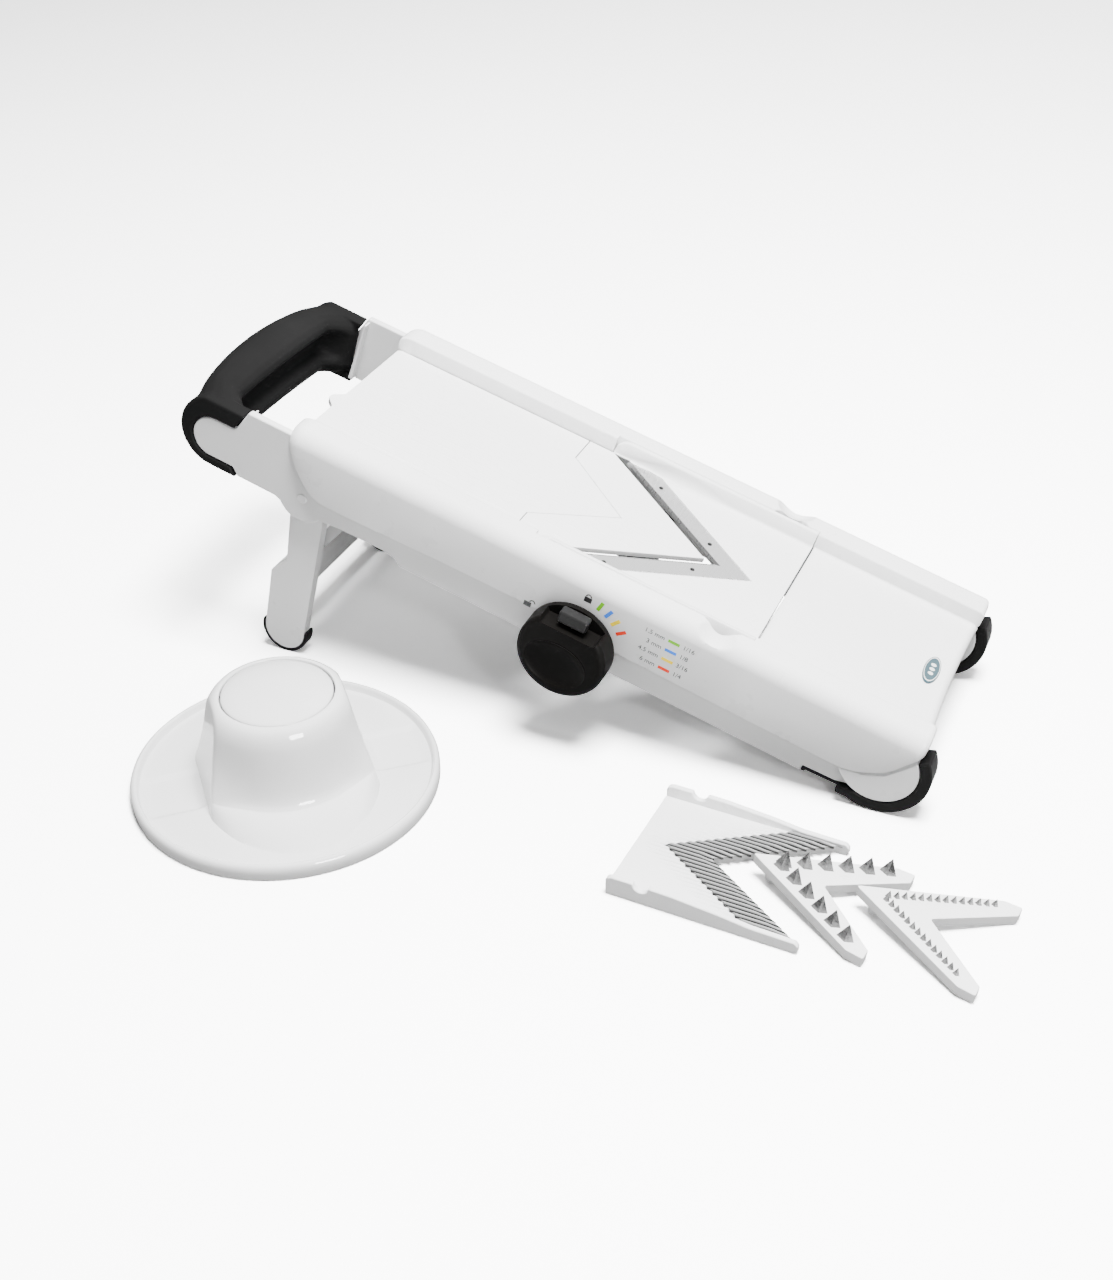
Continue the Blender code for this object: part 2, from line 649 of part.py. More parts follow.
def insert_latch(deck):
    """Bar that the collar draws back to free the blade insert."""
    latch = block("insert_latch", (-0.084, -0.031), (-0.0566, -0.0512), (-0.0168, -0.0128), deck, "grey_plastic")
    join(latch, block("nose", (-0.0355, -0.0300), (-0.0520, -0.0485), (-0.0160, -0.0050), deck, "grey_plastic"))


# ---------------------------------------------------------------- runway

def runway(deck):
    """Height-adjusted runway: main plate, its V nose and the carrier that the cams lift."""
    half = CHANNEL_HALF - GAP
    shift = 0.0003
    seam = [
        (SEAM_U, half),
        (SEAM_U, SEAM_HALF),
        (SEAM_TIP, 0.0),
        (SEAM_U, -SEAM_HALF),
        (SEAM_U, -half),
    ]
    left = [(DECK_LEFT + 0.001, -half), (DECK_LEFT + 0.001, half)]
    main = slab("runway_plate", [(u - shift, v) for u, v in seam] + left, -PLATE, 0.0, deck, "white_plastic")
    tab = [(-0.2392, -0.0215), (-0.2435, -0.0195), (-0.2445, -0.0150), (-0.2435, -0.0105), (-0.2392, -0.0085)]
    join(main, slab("tab", tab, -PLATE, -0.0002, deck, "white_plastic"))
    front = [(NOSE_TIP - V_SLOPE * half, -half), (NOSE_TIP, 0.0), (NOSE_TIP - V_SLOPE * half, half)]
    slab("runway_nose", [(u + shift, v) for u, v in seam] + front, -PLATE, 0.0, deck, "white_plastic")
    carrier = block("runway_carrier", (-0.232, -0.224), (-0.040, 0.040), (-0.0060, -0.0031), deck, "grey_plastic")
    join(carrier, block("bar", (-0.140, -0.132), (-0.040, 0.040), (-0.00595, -0.00315), deck, "grey_plastic"))
    for name, side in SIDES:
        v = sorted((side * 0.012, side * 0.0215))
        join(carrier, block("runner", (-0.2315, -0.0755), v, (-0.0058, -0.0033), deck, "grey_plastic"))
        post_v = sorted((side * 0.015, side * 0.019))
        post_u = (KNOB_U - 0.0009, KNOB_U + 0.0009)
        join(carrier, block("post", post_u, post_v, (-0.0116, -0.0045), deck, "grey_plastic"))


# ---------------------------------------------------------------- blade insert

def blade_insert(deck):
    """Lift-out insert with the V blade riveted into its recess."""
    side_in, side_out = CHANNEL_HALF, POCKET_HALF - 0.0003
    edge = -0.0338
    back = edge - V_SLOPE * side_in
    floor_plate = [
        (-0.0003, side_out),
        (INSERT_LEFT, side_out),
        (INSERT_LEFT, side_in + 0.0001),
        (back, side_in),
        (edge, 0.0),
        (back, -side_in),
        (INSERT_LEFT, -side_in - 0.0001),
        (INSERT_LEFT, -side_out),
        (-0.0003, -side_out),
    ]
    frame = slab("insert_frame", floor_plate, -0.0040, 0.0, deck, "white_plastic")
    recess = v_band(BLADE_INNER - 0.004, BLADE_OUTER + 0.00055, BLADE_HALF + 0.0004, V_SLOPE)
    cut(frame, slab("recess", recess, -0.00115, 0.002, deck, "white_plastic"))
    for name, side in SIDES:
        wall = arc(INSERT_LEFT + 0.006, 0.0022, 0.006, 180.0, 90.0, 6)
        wall += [(-0.0003, 0.0082), (-0.0003, -0.003), (INSERT_LEFT, -0.003)]
        join(frame, side_prism("wall", wall, side_in, side_out, side, deck, "white_plastic"))
        cut(frame, slab("notch", circle(DISH_U, side * DISH_V, DISH_R), 0.0002, 0.02, deck, "white_plastic"))
    join(frame, block("hook", (-0.0285, -0.0225), (-0.0515, -0.0485), (-0.0100, -0.0035), deck, "white_plastic"))
    outline = v_band(BLADE_INNER, BLADE_OUTER, BLADE_HALF, V_SLOPE)
    blade = slab("v_blade", outline, -0.00085, -0.00005, deck, "steel")
    middle = 0.5 * (BLADE_INNER + BLADE_OUTER)
    places = [(middle - V_SLOPE * abs(v), v) for v in (-0.0385, -0.0127, 0.0127, 0.0385)]
    for number, (u, v) in enumerate(places, start=1):
        cut(frame, slab("drill", circle(u, v, 0.0015, 10), -0.0034, 0.003, deck, "white_plastic"))
        cut(blade, slab("drill", circle(u, v, 0.0015, 10), -0.002, 0.003, deck, "white_plastic"))
        slab(f"blade_rivet_{number}", circle(u, v, 0.0012, 10), -0.0031, 0.0002, deck, "steel")


# ---------------------------------------------------------------- spare inserts on the floor

def wavy_insert():
    """Spare insert with side flanges and a V blade with a waved edge."""
    frame = empty("wavy_frame", None, (WAVY_X, WAVY_Y, 0.0), 0.0, radians(-2.5))
    inner = WAVY_HALF - 0.0025
    tip = WAVY_TIP
    plate = [
        (0.0, inner),
        (0.0, -inner),
        (tip + WAVY_SLOPE * inner, -inner),
        (tip, 0.0),
        (tip + WAVY_SLOPE * inner, inner),
    ]
    body = slab("wavy_insert_frame", plate, 0.0008, 0.0040, frame, "white_plastic")
    for name, side in SIDES:
        flange = [(0.001, 0.0), (WAVY_LENGTH, 0.0), (WAVY_LENGTH + 0.001, 0.004), (WAVY_LENGTH - 0.004, 0.0075)]
        flange += [(0.003, 0.0100), (0.001, 0.0085)]
        join(body, side_prism("flange", flange, inner - 0.0001, WAVY_HALF, side, frame, "white_plastic"))
        thumb = circle(0.016, side * (WAVY_HALF + 0.001), 0.0045, 16)
        cut(body, slab("thumb", thumb, 0.0045, 0.012, frame, "white_plastic"))
    teeth = 11
    half = inner - 0.0006
    front = []
    for i in range(-teeth, teeth + 1):
        v = half * i / teeth
        front.append((tip + 0.0030 + WAVY_SLOPE * abs(v) - (0.0014 if i % 2 else 0.0), v))
    back = [(tip - 0.0195 + WAVY_SLOPE * abs(v), v) for v in (half, 0.0, -half)]
    slab("wavy_blade", front + back, 0.0043, 0.0053, frame, "steel")


def julienne_insert(label, x, y, teeth, tooth_height):
    """Spare V insert with a row of upright cutting teeth along each arm."""
    place = (x + SLICER_X, y + SLICER_Y, JULIENNE_LIFT)
    frame = empty(f"{label}_frame", None, place, JULIENNE_PITCH, JULIENNE_TURN)
    length = JULIENNE_LENGTH
    shoulder_v = JULIENNE_SHOULDER / JULIENNE_OUTER
    inner_v = (length - JULIENNE_ARM) / JULIENNE_INNER
    upper = [(JULIENNE_SHOULDER, shoulder_v), (length, shoulder_v + 0.0005), (length, inner_v)]
    lower = [(u, -v) for u, v in reversed(upper)]
    outline = [(0.0, 0.0)] + upper + [(JULIENNE_ARM, 0.0)] + lower
    body = slab(f"{label}_insert_frame", outline, -0.0050, 0.0, frame, "white_plastic")
    join(body, slab("peg", circle(0.010, 0.0, 0.0030, 16), -0.0100, -0.0045, frame, "white_plastic"))
    end = (length - 0.0040 - TOOTH_IN) / TOOTH_SLOPE
    strip = v_band(-TOOTH_IN, -TOOTH_OUT, end, TOOTH_SLOPE)
    steel = slab(f"{label}_teeth", [(-u, v) for u, v in strip], 0.0003, 0.0011, frame, "steel")
    middle = 0.5 * (TOOTH_IN + TOOTH_OUT)
    reach = end - 0.0018
    width = 0.36 * TOOTH_SLOPE * reach / teeth
    for i in range(-teeth, teeth + 1):
        v = reach * i / teeth
        u = middle + TOOTH_SLOPE * abs(v)
        fin = [(u - width, 0.0006), (u + width, 0.0006), (u + 0.4 * width, 0.0010 + tooth_height)]
        join(steel, extruded("fin", fin, v - 0.0005, v + 0.0005, "v", frame, "steel"))


# ---------------------------------------------------------------- food holder

def food_holder():
    """Hat-shaped holder whose capped plunger slides in a sprung guide."""
    frame = empty("holder_frame", None, (HOLDER_X, HOLDER_Y, 0.0))
    outside = [
        (CAP_R + GAP, 0.0500),
        (0.0292, 0.0496),
        (0.0318, 0.0475),
        (0.0334, 0.0430),
        (0.0348, 0.0350),
        (0.0368, 0.0250),
        (0.0398, 0.0150),
        (0.0440, 0.0085),
        (0.0500, 0.0052),
        (0.0600, 0.0040),
        (0.0692, 0.0036),
        (0.0704, 0.0060),
        (BRIM_R - 0.0006, 0.0060),
        (BRIM_R, 0.0052),
        (BRIM_R, 0.0),
    ]
    inside = [
        (0.0698, 0.0),
        (0.0688, 0.0012),
        (0.0600, 0.0017),
        (0.0495, 0.0028),
        (0.0422, 0.0064),
        (0.0376, 0.0136),
        (0.0345, 0.0244),
        (0.0325, 0.0350),
        (0.0311, 0.0425),
        (0.0298, 0.0462),
        (0.0280, 0.0474),
        (CAP_R + GAP, 0.0476),
    ]
    turned("food_holder", outside + inside, frame, "gloss_plastic", 40)
    cap = [(0.0, 0.0465), (CAP_R - 0.0008, 0.0465), (CAP_R, 0.0472), (CAP_R, 0.0496), (CAP_R - 0.0008, 0.0503)]
    cap += [(0.018, 0.0516), (0.009, 0.0523), (0.0, 0.0525)]
    turned("plunger_cap", cap, frame, "gloss_plastic", 40)
    turned("plunger_stem", [(0.0, 0.0180), (0.0070, 0.0180), (0.0070, 0.0462), (0.0, 0.0462)], frame, "white_plastic", 20)
    guide = [(0.0074, GUIDE_BOTTOM), (0.0306, GUIDE_BOTTOM), (0.0306, 0.0432), (0.0074, 0.0432)]
    turned("stem_guide", guide, frame, "white_plastic", 28)
    low, high = PRONG_PLATE_BOTTOM, PRONG_PLATE_TOP
    plate = turned("prong_plate", [(0.0, low), (0.027, low), (0.027, high), (0.0, high)], frame, "white_plastic", 28)
    places = [(0.0, 0.0)] + circle(0.0, 0.0, 0.012, 4) + circle(0.0, 0.0, 0.0215, 8)
    for x, y in places:
        join(plate, slab("prong", circle(x, y, 0.0011, 8), 0.0030, low + 0.001, frame, "white_plastic"))
    plunger_spring(frame)


def plunger_spring(frame):
    """Compression spring round the stem, between the prong plate and the guide."""
    turns, per_turn, sides = 6, 12, 6
    coil_r, wire_r = 0.0098, 0.0008
    low = PRONG_PLATE_TOP + wire_r + 0.0003
    high = GUIDE_BOTTOM - wire_r - 0.0003
    bm = bmesh.new()
    rings = []
    count = turns * per_turn
    for i in range(count + 1):
        turn = 2.0 * pi * i / per_turn
        z = low + (high - low) * i / count
        section = []
        for k in range(sides):
            a = 2.0 * pi * k / sides
            r = coil_r + wire_r * cos(a)
            section.append(bm.verts.new((r * cos(turn), r * sin(turn), z + wire_r * sin(a))))
        rings.append(section)
    for ring_a, ring_b in zip(rings, rings[1:]):
        for k in range(sides):
            j = (k + 1) % sides
            bm.faces.new((ring_a[k], ring_a[j], ring_b[j], ring_b[k]))
    bm.faces.new(rings[0])
    bm.faces.new(reversed(rings[-1]))
    from_bmesh(bm, "plunger_spring", frame, "steel")


# ---------------------------------------------------------------- assembly

def build():
    for old in list(bpy.data.objects):
        bpy.data.objects.remove(old)
    deck = empty("deck_frame", None, (SLICER_X, SLICER_Y, DECK_H), TILT)
    upper_shell(deck)
    shell_screws(deck)
    cheeks(deck)
    tie_rods(deck)
    rear_feet(deck)
    handle_grip(deck)
    badge(deck)
    belly_tray(deck)
    folding_leg(deck)
    stay(deck)
    knob_group(deck)
    insert_latch(deck)
    runway(deck)
    blade_insert(deck)
    wavy_insert()
    for place in JULIENNE_PLACES:
        julienne_insert(*place)
    food_holder()
    for piece in bpy.data.objects:
        if piece.type == "MESH":
            piece.data.shade_smooth()
            piece.data.set_sharp_from_angle(angle=radians(35.0))


build()
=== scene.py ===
"""Looks of the mandoline slicer: moulded shells, steel blades, soft grip and studio, on the CAD frame.

Pieces of the slicer are drawn in its deck frame: u along the deck towards the rear feet, v across
it towards the far side and w square to it, with the deck at w = 0.  All sizes are metres.
"""
import json
from math import cos, pi, radians, sin, sqrt

import bmesh
import bpy
from mathutils import Matrix, Vector


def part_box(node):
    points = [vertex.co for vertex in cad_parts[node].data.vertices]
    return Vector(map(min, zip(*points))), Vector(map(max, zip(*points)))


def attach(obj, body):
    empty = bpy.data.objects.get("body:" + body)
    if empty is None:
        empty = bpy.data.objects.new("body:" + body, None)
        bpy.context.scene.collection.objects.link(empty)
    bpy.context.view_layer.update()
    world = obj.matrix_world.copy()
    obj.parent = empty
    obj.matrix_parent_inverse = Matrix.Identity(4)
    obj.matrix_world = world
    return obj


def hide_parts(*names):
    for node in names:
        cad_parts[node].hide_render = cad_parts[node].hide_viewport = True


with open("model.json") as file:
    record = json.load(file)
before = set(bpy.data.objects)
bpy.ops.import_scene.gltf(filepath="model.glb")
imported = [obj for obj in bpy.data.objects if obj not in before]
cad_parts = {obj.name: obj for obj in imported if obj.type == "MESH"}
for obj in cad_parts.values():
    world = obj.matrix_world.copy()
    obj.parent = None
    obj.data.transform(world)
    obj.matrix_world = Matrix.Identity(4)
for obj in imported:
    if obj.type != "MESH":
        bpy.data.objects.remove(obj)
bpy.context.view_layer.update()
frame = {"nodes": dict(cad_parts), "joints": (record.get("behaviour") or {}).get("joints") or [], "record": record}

# Deck sizes, as the CAD has them
DECK_LEFT, DECK_RIGHT = -0.241, 0.0905
CHANNEL_HALF = 0.0494           # half width of the channel that the runway lies in
POCKET_HALF = 0.0525            # half width of the blade insert's pocket
INSERT_LEFT = -0.113
POCKET_LEFT, POCKET_RIGHT = -0.1134, 0.0001
SHELL_HALF = 0.0655
WALL = 0.0034
RAIL_TOP = 0.0086
PLATE = 0.0028                  # thickness of the runway and the landing
GRIP_SPOT = -0.016              # u of the finger scoops and of the gaps beside the insert
FOOT_U, FOOT_W, FOOT_R, HUB_R = 0.0748, -0.0163, 0.0247, 0.0189
FOOT_IN, FOOT_OUT = 0.0525, 0.0653
CHEEK_IN, CHEEK_OUT = 0.0576, 0.0617
TONGUE_U, TONGUE_W, TONGUE_R = -0.281, -0.0203, 0.0109
KNOB_U, KNOB_W, KNOB_R = -0.078, -0.03, 0.0224
KNOB_BACK, KNOB_FRONT = 0.0662, 0.0806
V_SLOPE = 1.434                 # run along u of every V edge on the deck, for each metre of v
SEAM_U, SEAM_HALF, SEAM_TIP = -0.1266, 0.03, -0.088
NOSE_TIP = -0.0425
RAIL_MOUNT = (0.05, 0.0575)     # u and v of the mount on the far rail
SIDES = (("near", -1), ("far", 1))


def deck_matrix():
    """The deck's frame, from the far rail's mount and the direction that the blade insert lifts in."""
    lift = next(j for j in frame["joints"] if j["name"] == "insert_lift")["axis"]
    up = Vector(lift).normalized()
    along = Vector((up.z, 0.0, -up.x))
    mount = next(m for m in frame["record"]["mounts"] if m["name"] == "far_rail_top")
    across = Vector((0.0, 1.0, 0.0))
    origin = Vector(mount["pos_m"]) - RAIL_MOUNT[0] * along - RAIL_MOUNT[1] * across - RAIL_TOP * up
    columns = Matrix((along, across, up)).transposed()
    return Matrix.Translation(origin) @ columns.to_4x4()


DECK = deck_matrix()


# ---------- materials

def shader_of(name, **values):
    """A new material and its Principled shader, with constants on the shader's own sockets."""
    made = bpy.data.materials.new(name)
    made.use_nodes = True
    shader = made.node_tree.nodes["Principled BSDF"]
    for socket, value in values.items():
        shader.inputs[socket.replace("_", " ")].default_value = value
    return made, shader


def noise(tree, scale, detail=3.0, stretch=None):
    """Noise in the piece's own coordinates, stretched along an axis if asked."""
    place = tree.nodes.new("ShaderNodeTexCoord")
    texture = tree.nodes.new("ShaderNodeTexNoise")
    texture.inputs["Scale"].default_value = scale
    texture.inputs["Detail"].default_value = detail
    source = place.outputs["Object"]
    if stretch:
        mapping = tree.nodes.new("ShaderNodeMapping")
        mapping.inputs["Scale"].default_value = stretch
        tree.links.new(source, mapping.inputs["Vector"])
        source = mapping.outputs["Vector"]
    tree.links.new(source, texture.inputs["Vector"])
    return texture.outputs["Fac"]


def ramp(tree, fac, low, high, start=0.3, end=0.7):
    """Maps a factor to a value or a colour between two ends."""
    node = tree.nodes.new("ShaderNodeValToRGB")
    for element, place, value in zip(node.color_ramp.elements, (start, end), (low, high)):
        element.position = place
        element.color = value if isinstance(value, tuple) else (value, value, value, 1.0)
    tree.links.new(fac, node.inputs["Fac"])
    return node.outputs["Color"]


def bump(tree, shader, height, strength, distance):
    """Raises the surface by a texture, up to a distance."""
    node = tree.nodes.new("ShaderNodeBump")
    node.inputs["Strength"].default_value = strength
    node.inputs["Distance"].default_value = distance
    tree.links.new(height, node.inputs["Height"])
    tree.links.new(node.outputs["Normal"], shader.inputs["Normal"])


def moulded(name, dark, light, rough, grain, depth, spread=0.05, stretch=None, **values):
    """Moulded plastic or rubber: drifting colour, uneven roughness and a fine grain."""
    drift_scale, gloss_scale, grain_strength = 9.0, 60.0, 0.25
    made, shader = shader_of(name, **values)
    tree = made.node_tree
    tree.links.new(ramp(tree, noise(tree, drift_scale), dark, light), shader.inputs["Base Color"])
    gloss = ramp(tree, noise(tree, gloss_scale, 4.0), rough - spread, rough + spread)
    tree.links.new(gloss, shader.inputs["Roughness"])
    bump(tree, shader, noise(tree, grain, 2.0, stretch), grain_strength, depth)
    return made


def grey(value, warm=0.0):
    """A grey, a little redder than it is blue if asked."""
    return (value + warm, value, value - warm, 1.0)


def steel_material(name, dark, light):
    """Ground steel with fine lines across the blade."""
    made, shader = shader_of(name, Metallic=1.0)
    tree = made.node_tree
    lines = noise(tree, 900.0, 2.0, (1.0, 0.06, 1.0))
    tree.links.new(ramp(tree, lines, grey(dark), grey(light)), shader.inputs["Base Color"])
    tree.links.new(ramp(tree, lines, 0.26, 0.31), shader.inputs["Roughness"])
    bump(tree, shader, lines, 0.015, 0.00002)
    return made


WHITE = moulded("white_abs", grey(0.8), grey(0.83), 0.3, 1400.0, 0.00004, Coat_Weight=0.15)
# The cheeks' white is darkened: painted shade under the shell's overhanging side wall.
CHEEK_PAINTED_SHADE = moulded("cheek_painted_shade", grey(0.72), grey(0.75), 0.34, 1400.0, 0.00004)
RIBBED = moulded("white_ribbed", grey(0.8), grey(0.83), 0.34, 260.0, 0.0001, stretch=(0.02, 1.0, 1.0))
GLOSS = moulded("gloss_white", grey(0.66), grey(0.69), 0.09, 300.0, 0.00002, 0.02, Coat_Weight=0.5)
GRIP = moulded("soft_grip", grey(0.005), grey(0.009), 0.66, 1900.0, 0.00007, 0.06, Specular_IOR_Level=0.08)
KNOB = moulded("knob_black", grey(0.003, 0.0003), grey(0.005, 0.0003), 0.46, 1700.0, 0.00005,
               Specular_IOR_Level=0.05)
TYRE = moulded("tyre_rubber", grey(0.003), grey(0.006), 0.5, 1500.0, 0.00008, 0.07, Specular_IOR_Level=0.15)
BUTTON = moulded("button_grey", grey(0.008), grey(0.012), 0.4, 1700.0, 0.00005, Specular_IOR_Level=0.25)
# Dark grey of the parts inside the shell: painted shade, so the slot and the seam over them read dark.
INNER_PAINTED_SHADE = moulded("inner_painted_shade", grey(0.16), grey(0.2), 0.45, 1200.0, 0.00005)
STRUT = moulded("strut_grey", grey(0.42), grey(0.5), 0.4, 1200.0, 0.00005)
BADGE = moulded("badge_slate", (0.03, 0.062, 0.078, 1.0), (0.04, 0.076, 0.092, 1.0), 0.34, 900.0,
                0.00003, 0.04)
BADGE_MARK = moulded("badge_mark", grey(0.62), grey(0.68), 0.3, 900.0, 0.00003, 0.04)
PRINT = moulded("printed_grey", grey(0.018), grey(0.028), 0.45, 900.0, 0.00001)
STEEL = steel_material("ground_steel", 0.74, 0.78)
# The teeth's steel is darkened well below the blade's: painted shade and painted dark reflection on the teeth.
TOOTH_STEEL_PAINTED_SHADE = steel_material("tooth_steel_painted_shade", 0.11, 0.19)
RIVET = steel_material("rivet_steel", 0.05, 0.09)
BAR_COLOURS = {
    "green": (0.17, 0.52, 0.003, 1.0),
    "blue": (0.035, 0.2, 0.8, 1.0),
    "yellow": (0.9, 0.66, 0.002, 1.0),
    "red": (0.72, 0.03, 0.002, 1.0),
}


def corrugated_steel_painted_light(pitch):
    """Steel pressed into ridges: painted highlight on the ridge tops and painted shade in the grooves, at the
    ridges' own pitch.
    """
    made, shader = shader_of("corrugated_steel_painted_light", Metallic=0.45)
    tree = made.node_tree
    place = tree.nodes.new("ShaderNodeTexCoord")
    wave = tree.nodes.new("ShaderNodeTexWave")
    wave.bands_direction = "Y"
    bands_per_scale = 20.0 / (2.0 * pi)
    wave.inputs["Scale"].default_value = 1.0 / (bands_per_scale * pitch)
    tree.links.new(place.outputs["Object"], wave.inputs["Vector"])
    # painted shade in the grooves and painted highlight on the ridge tops, following the wave
    shade = ramp(tree, wave.outputs["Fac"], grey(0.03), grey(0.52), 0.38, 0.92)
    tree.links.new(shade, shader.inputs["Base Color"])
    tree.links.new(ramp(tree, noise(tree, 500.0), 0.32, 0.42), shader.inputs["Roughness"])
    return made


def bar_material(name):
    """Printed ink of one thickness mark."""
    colour = BAR_COLOURS[name]
    lighter = tuple(min(1.0, 1.12 * c) for c in colour)
    return moulded(f"printed_{name}", colour, lighter, 0.4, 900.0, 0.00001)


# ---------- mesh helpers

def add(name, bm, body, finish, stands_for=(), slot="white_plastic", place=None, sharp=40.0):
    """Makes the piece, shades it, and lets it ride on its body in place of its CAD nodes."""
    bmesh.ops.recalc_face_normals(bm, faces=bm.faces)
    mesh = bpy.data.meshes.new(name)
    bm.to_mesh(mesh)
    bm.free()
    piece = bpy.data.objects.new(name, mesh)
    bpy.context.collection.objects.link(piece)
    mesh.materials.append(finish)
    piece.matrix_world = place or DECK
    mesh.shade_smooth()
    if sharp:
        mesh.set_sharp_from_angle(angle=radians(sharp))
    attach(piece, body)
    if stands_for:
        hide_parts(*stands_for)
    return piece


def round_edges(piece, width, segments=3, angle=35.0):
    """Softens a piece's edges, keeping its flat faces flat."""
    edges = piece.modifiers.new("edges", "BEVEL")
    edges.width = width
    edges.segments = segments
    edges.limit_method = "ANGLE"
    edges.angle_limit = radians(angle)
    piece.data.shade_smooth()
    for edge in piece.data.edges:
        edge.use_edge_sharp = False
    weights = piece.modifiers.new("normals", "WEIGHTED_NORMAL")
    weights.keep_sharp = True


def prism(bm, outline, low, high, across="v"):
    """Adds a prism of the outline, swept from low to high along v or w."""
    def point(a, b, c):
        return (a, c, b) if across == "v" else (a, b, c)
    base = [bm.verts.new(point(a, b, low)) for a, b in outline]
    top = [bm.verts.new(point(a, b, high)) for a, b in outline]
    bm.faces.new(base)
    bm.faces.new(reversed(top))
    for i in range(len(outline)):
        j = (i + 1) % len(outline)
        bm.faces.new((base[j], base[i], top[i], top[j]))


def side_plate(name, outline, v_in, v_out, side, body, finish, **options):
    """A piece with a (u, w) outline, between two distances from the middle of the deck."""
    low, high = sorted((side * v_in, side * v_out))
    bm = bmesh.new()
    prism(bm, outline, low, high)
    return add(name, bm, body, finish, **options)


def flat_plate(name, outline, low, high, body, finish, **options):
    """A piece with a (u, v) outline, between two heights."""
    bm = bmesh.new()
    prism(bm, outline, low, high, "w")
    return add(name, bm, body, finish, **options)


def arc(cx, cy, radius, start, end, steps):
    """Points of an arc, with its angles in degrees."""
    angles = [radians(start + (end - start) * i / steps) for i in range(steps + 1)]
    return [(cx + radius * cos(a), cy + radius * sin(a)) for a in angles]


def circle(cx, cy, radius, steps):
    """Points of a whole circle, without the first one again."""
    return arc(cx, cy, radius, 0.0, 360.0 - 360.0 / steps, steps - 1)


def skinned(name, rings, body, finish, closed=True, loop=False, caps=False, **options):
    """A piece made of faces between rows of points."""
    bm = bmesh.new()
    skin(bm, rings, closed, loop, caps)
    return add(name, bm, body, finish, **options)


def rectangle(x_low, x_high, y_low, y_high):
    """Corners of a rectangle."""
    return [(x_low, y_low), (x_high, y_low), (x_high, y_high), (x_low, y_high)]


def skin(bm, rings, closed=True, loop=False, caps=False):
    """Faces between rows of points, with closed rows, a last row joined to the first, or end caps."""
    rows = [[bm.verts.new(p) for p in ring] for ring in rings]
    pairs = list(zip(rows, rows[1:]))
    if loop:
        pairs.append((rows[-1], rows[0]))
    for row, other in pairs:
        count = len(row) if closed else len(row) - 1
        for i in range(count):
            j = (i + 1) % len(row)
            bm.faces.new((row[i], row[j], other[j], other[i]))
    if caps:
        bm.faces.new(rows[0])
        bm.faces.new(reversed(rows[-1]))


def turned(name, profile, body, finish, place, steps=96, **options):
    """A closed (r, z) profile turned round the z axis; a point on the axis has r = 0."""
    bm = bmesh.new()
    rings = []
    for r, z in profile:
        turns = [2.0 * pi * i / steps for i in range(steps)] if r else [0.0]
        rings.append([bm.verts.new((r * cos(a), r * sin(a), z)) for a in turns])
    for ring, other in zip(rings, rings[1:] + rings[:1]):
        for i in range(steps):
            j = (i + 1) % steps
            corners = (ring[i % len(ring)], ring[j % len(ring)], other[j % len(other)], other[i % len(other)])
            unique = list(dict.fromkeys(corners))
            if len(unique) > 2:
                bm.faces.new(unique)
    return add(name, bm, body, finish, place=place, **options)


def apply_modifiers(piece):
    """Replaces the piece's mesh by its modified shape."""
    bpy.context.view_layer.update()
    result = bpy.data.meshes.new_from_object(piece.evaluated_get(bpy.context.evaluated_depsgraph_get()))
    piece.modifiers.clear()
    piece.data = result
    result.name = piece.name


def boolean(piece, tool, operation="DIFFERENCE"):
    """Applies a boolean to the piece's mesh and removes the tool."""
    change = piece.modifiers.new("cut", "BOOLEAN")
    change.operation = operation
    change.object = tool
    apply_modifiers(piece)
    bpy.data.objects.remove(tool)


def cutter(bm, place=None):
    """A plain object for a boolean."""
    bmesh.ops.recalc_face_normals(bm, faces=bm.faces)
    mesh = bpy.data.meshes.new("tool")
    bm.to_mesh(mesh)
    bm.free()
    tool = bpy.data.objects.new("tool", mesh)
    bpy.context.collection.objects.link(tool)
    tool.matrix_world = place or DECK
    return tool


def cut_prism(piece, outline, low, high, across="v", place=None, operation="DIFFERENCE"):
    """Cuts a prism out of the piece, or joins it on."""
    bm = bmesh.new()
    prism(bm, outline, low, high, across)
    boolean(piece, cutter(bm, place), operation)


def smooth_step(x, low, high):
    """Rises from 0 to 1 between low and high, with level ends."""
    t = max(0.0, min(1.0, (x - low) / (high - low)))
    return t * t * (3.0 - 2.0 * t)


def spread(*stops):
    """Places from (start, step) pairs to the last stop, each stretch with its own step."""
    places = []
    for (start, step), (end, _) in zip(stops, stops[1:]):
        count = max(1, round((end - start) / step))
        places += [start + (end - start) * i / count for i in range(count)]
    return places + [stops[-1][0]]


# ---------- upper shell

WALL_BOTTOM = (
    (-0.241, 0.001), (-0.2375, -0.006), (-0.2262, -0.0205), (-0.2203, -0.0248), (-0.206, -0.025),
    (-0.15, -0.0231), (-0.098, -0.0226), (-0.0525, -0.0254), (0.062, -0.0262), (0.075, -0.0205),
    (0.0815, -0.015), (0.0885, -0.0033), (0.0905, 0.0046),
)


def wall_bottom(u):
    """Height of the side wall's bottom edge, with its corners eased."""
    total = 0.0
    reach = 0.006 if u > 0.0 else 0.0035
    for step in (-1.0, -0.5, 0.0, 0.5, 1.0):
        x = max(DECK_LEFT, min(DECK_RIGHT, u + step * reach))
        for (a, wa), (b, wb) in zip(WALL_BOTTOM, WALL_BOTTOM[1:]):
            if a <= x <= b:
                total += wa + (wb - wa) * (x - a) / (b - a)
                break
    return total / 5.0


def quarter(distance, radius):
    """How far a quarter-round end of this radius has fallen, this far from its end."""
    t = max(0.0, min(1.0, distance / radius))
    return radius * (1.0 - sqrt(1.0 - (1.0 - t) ** 2))


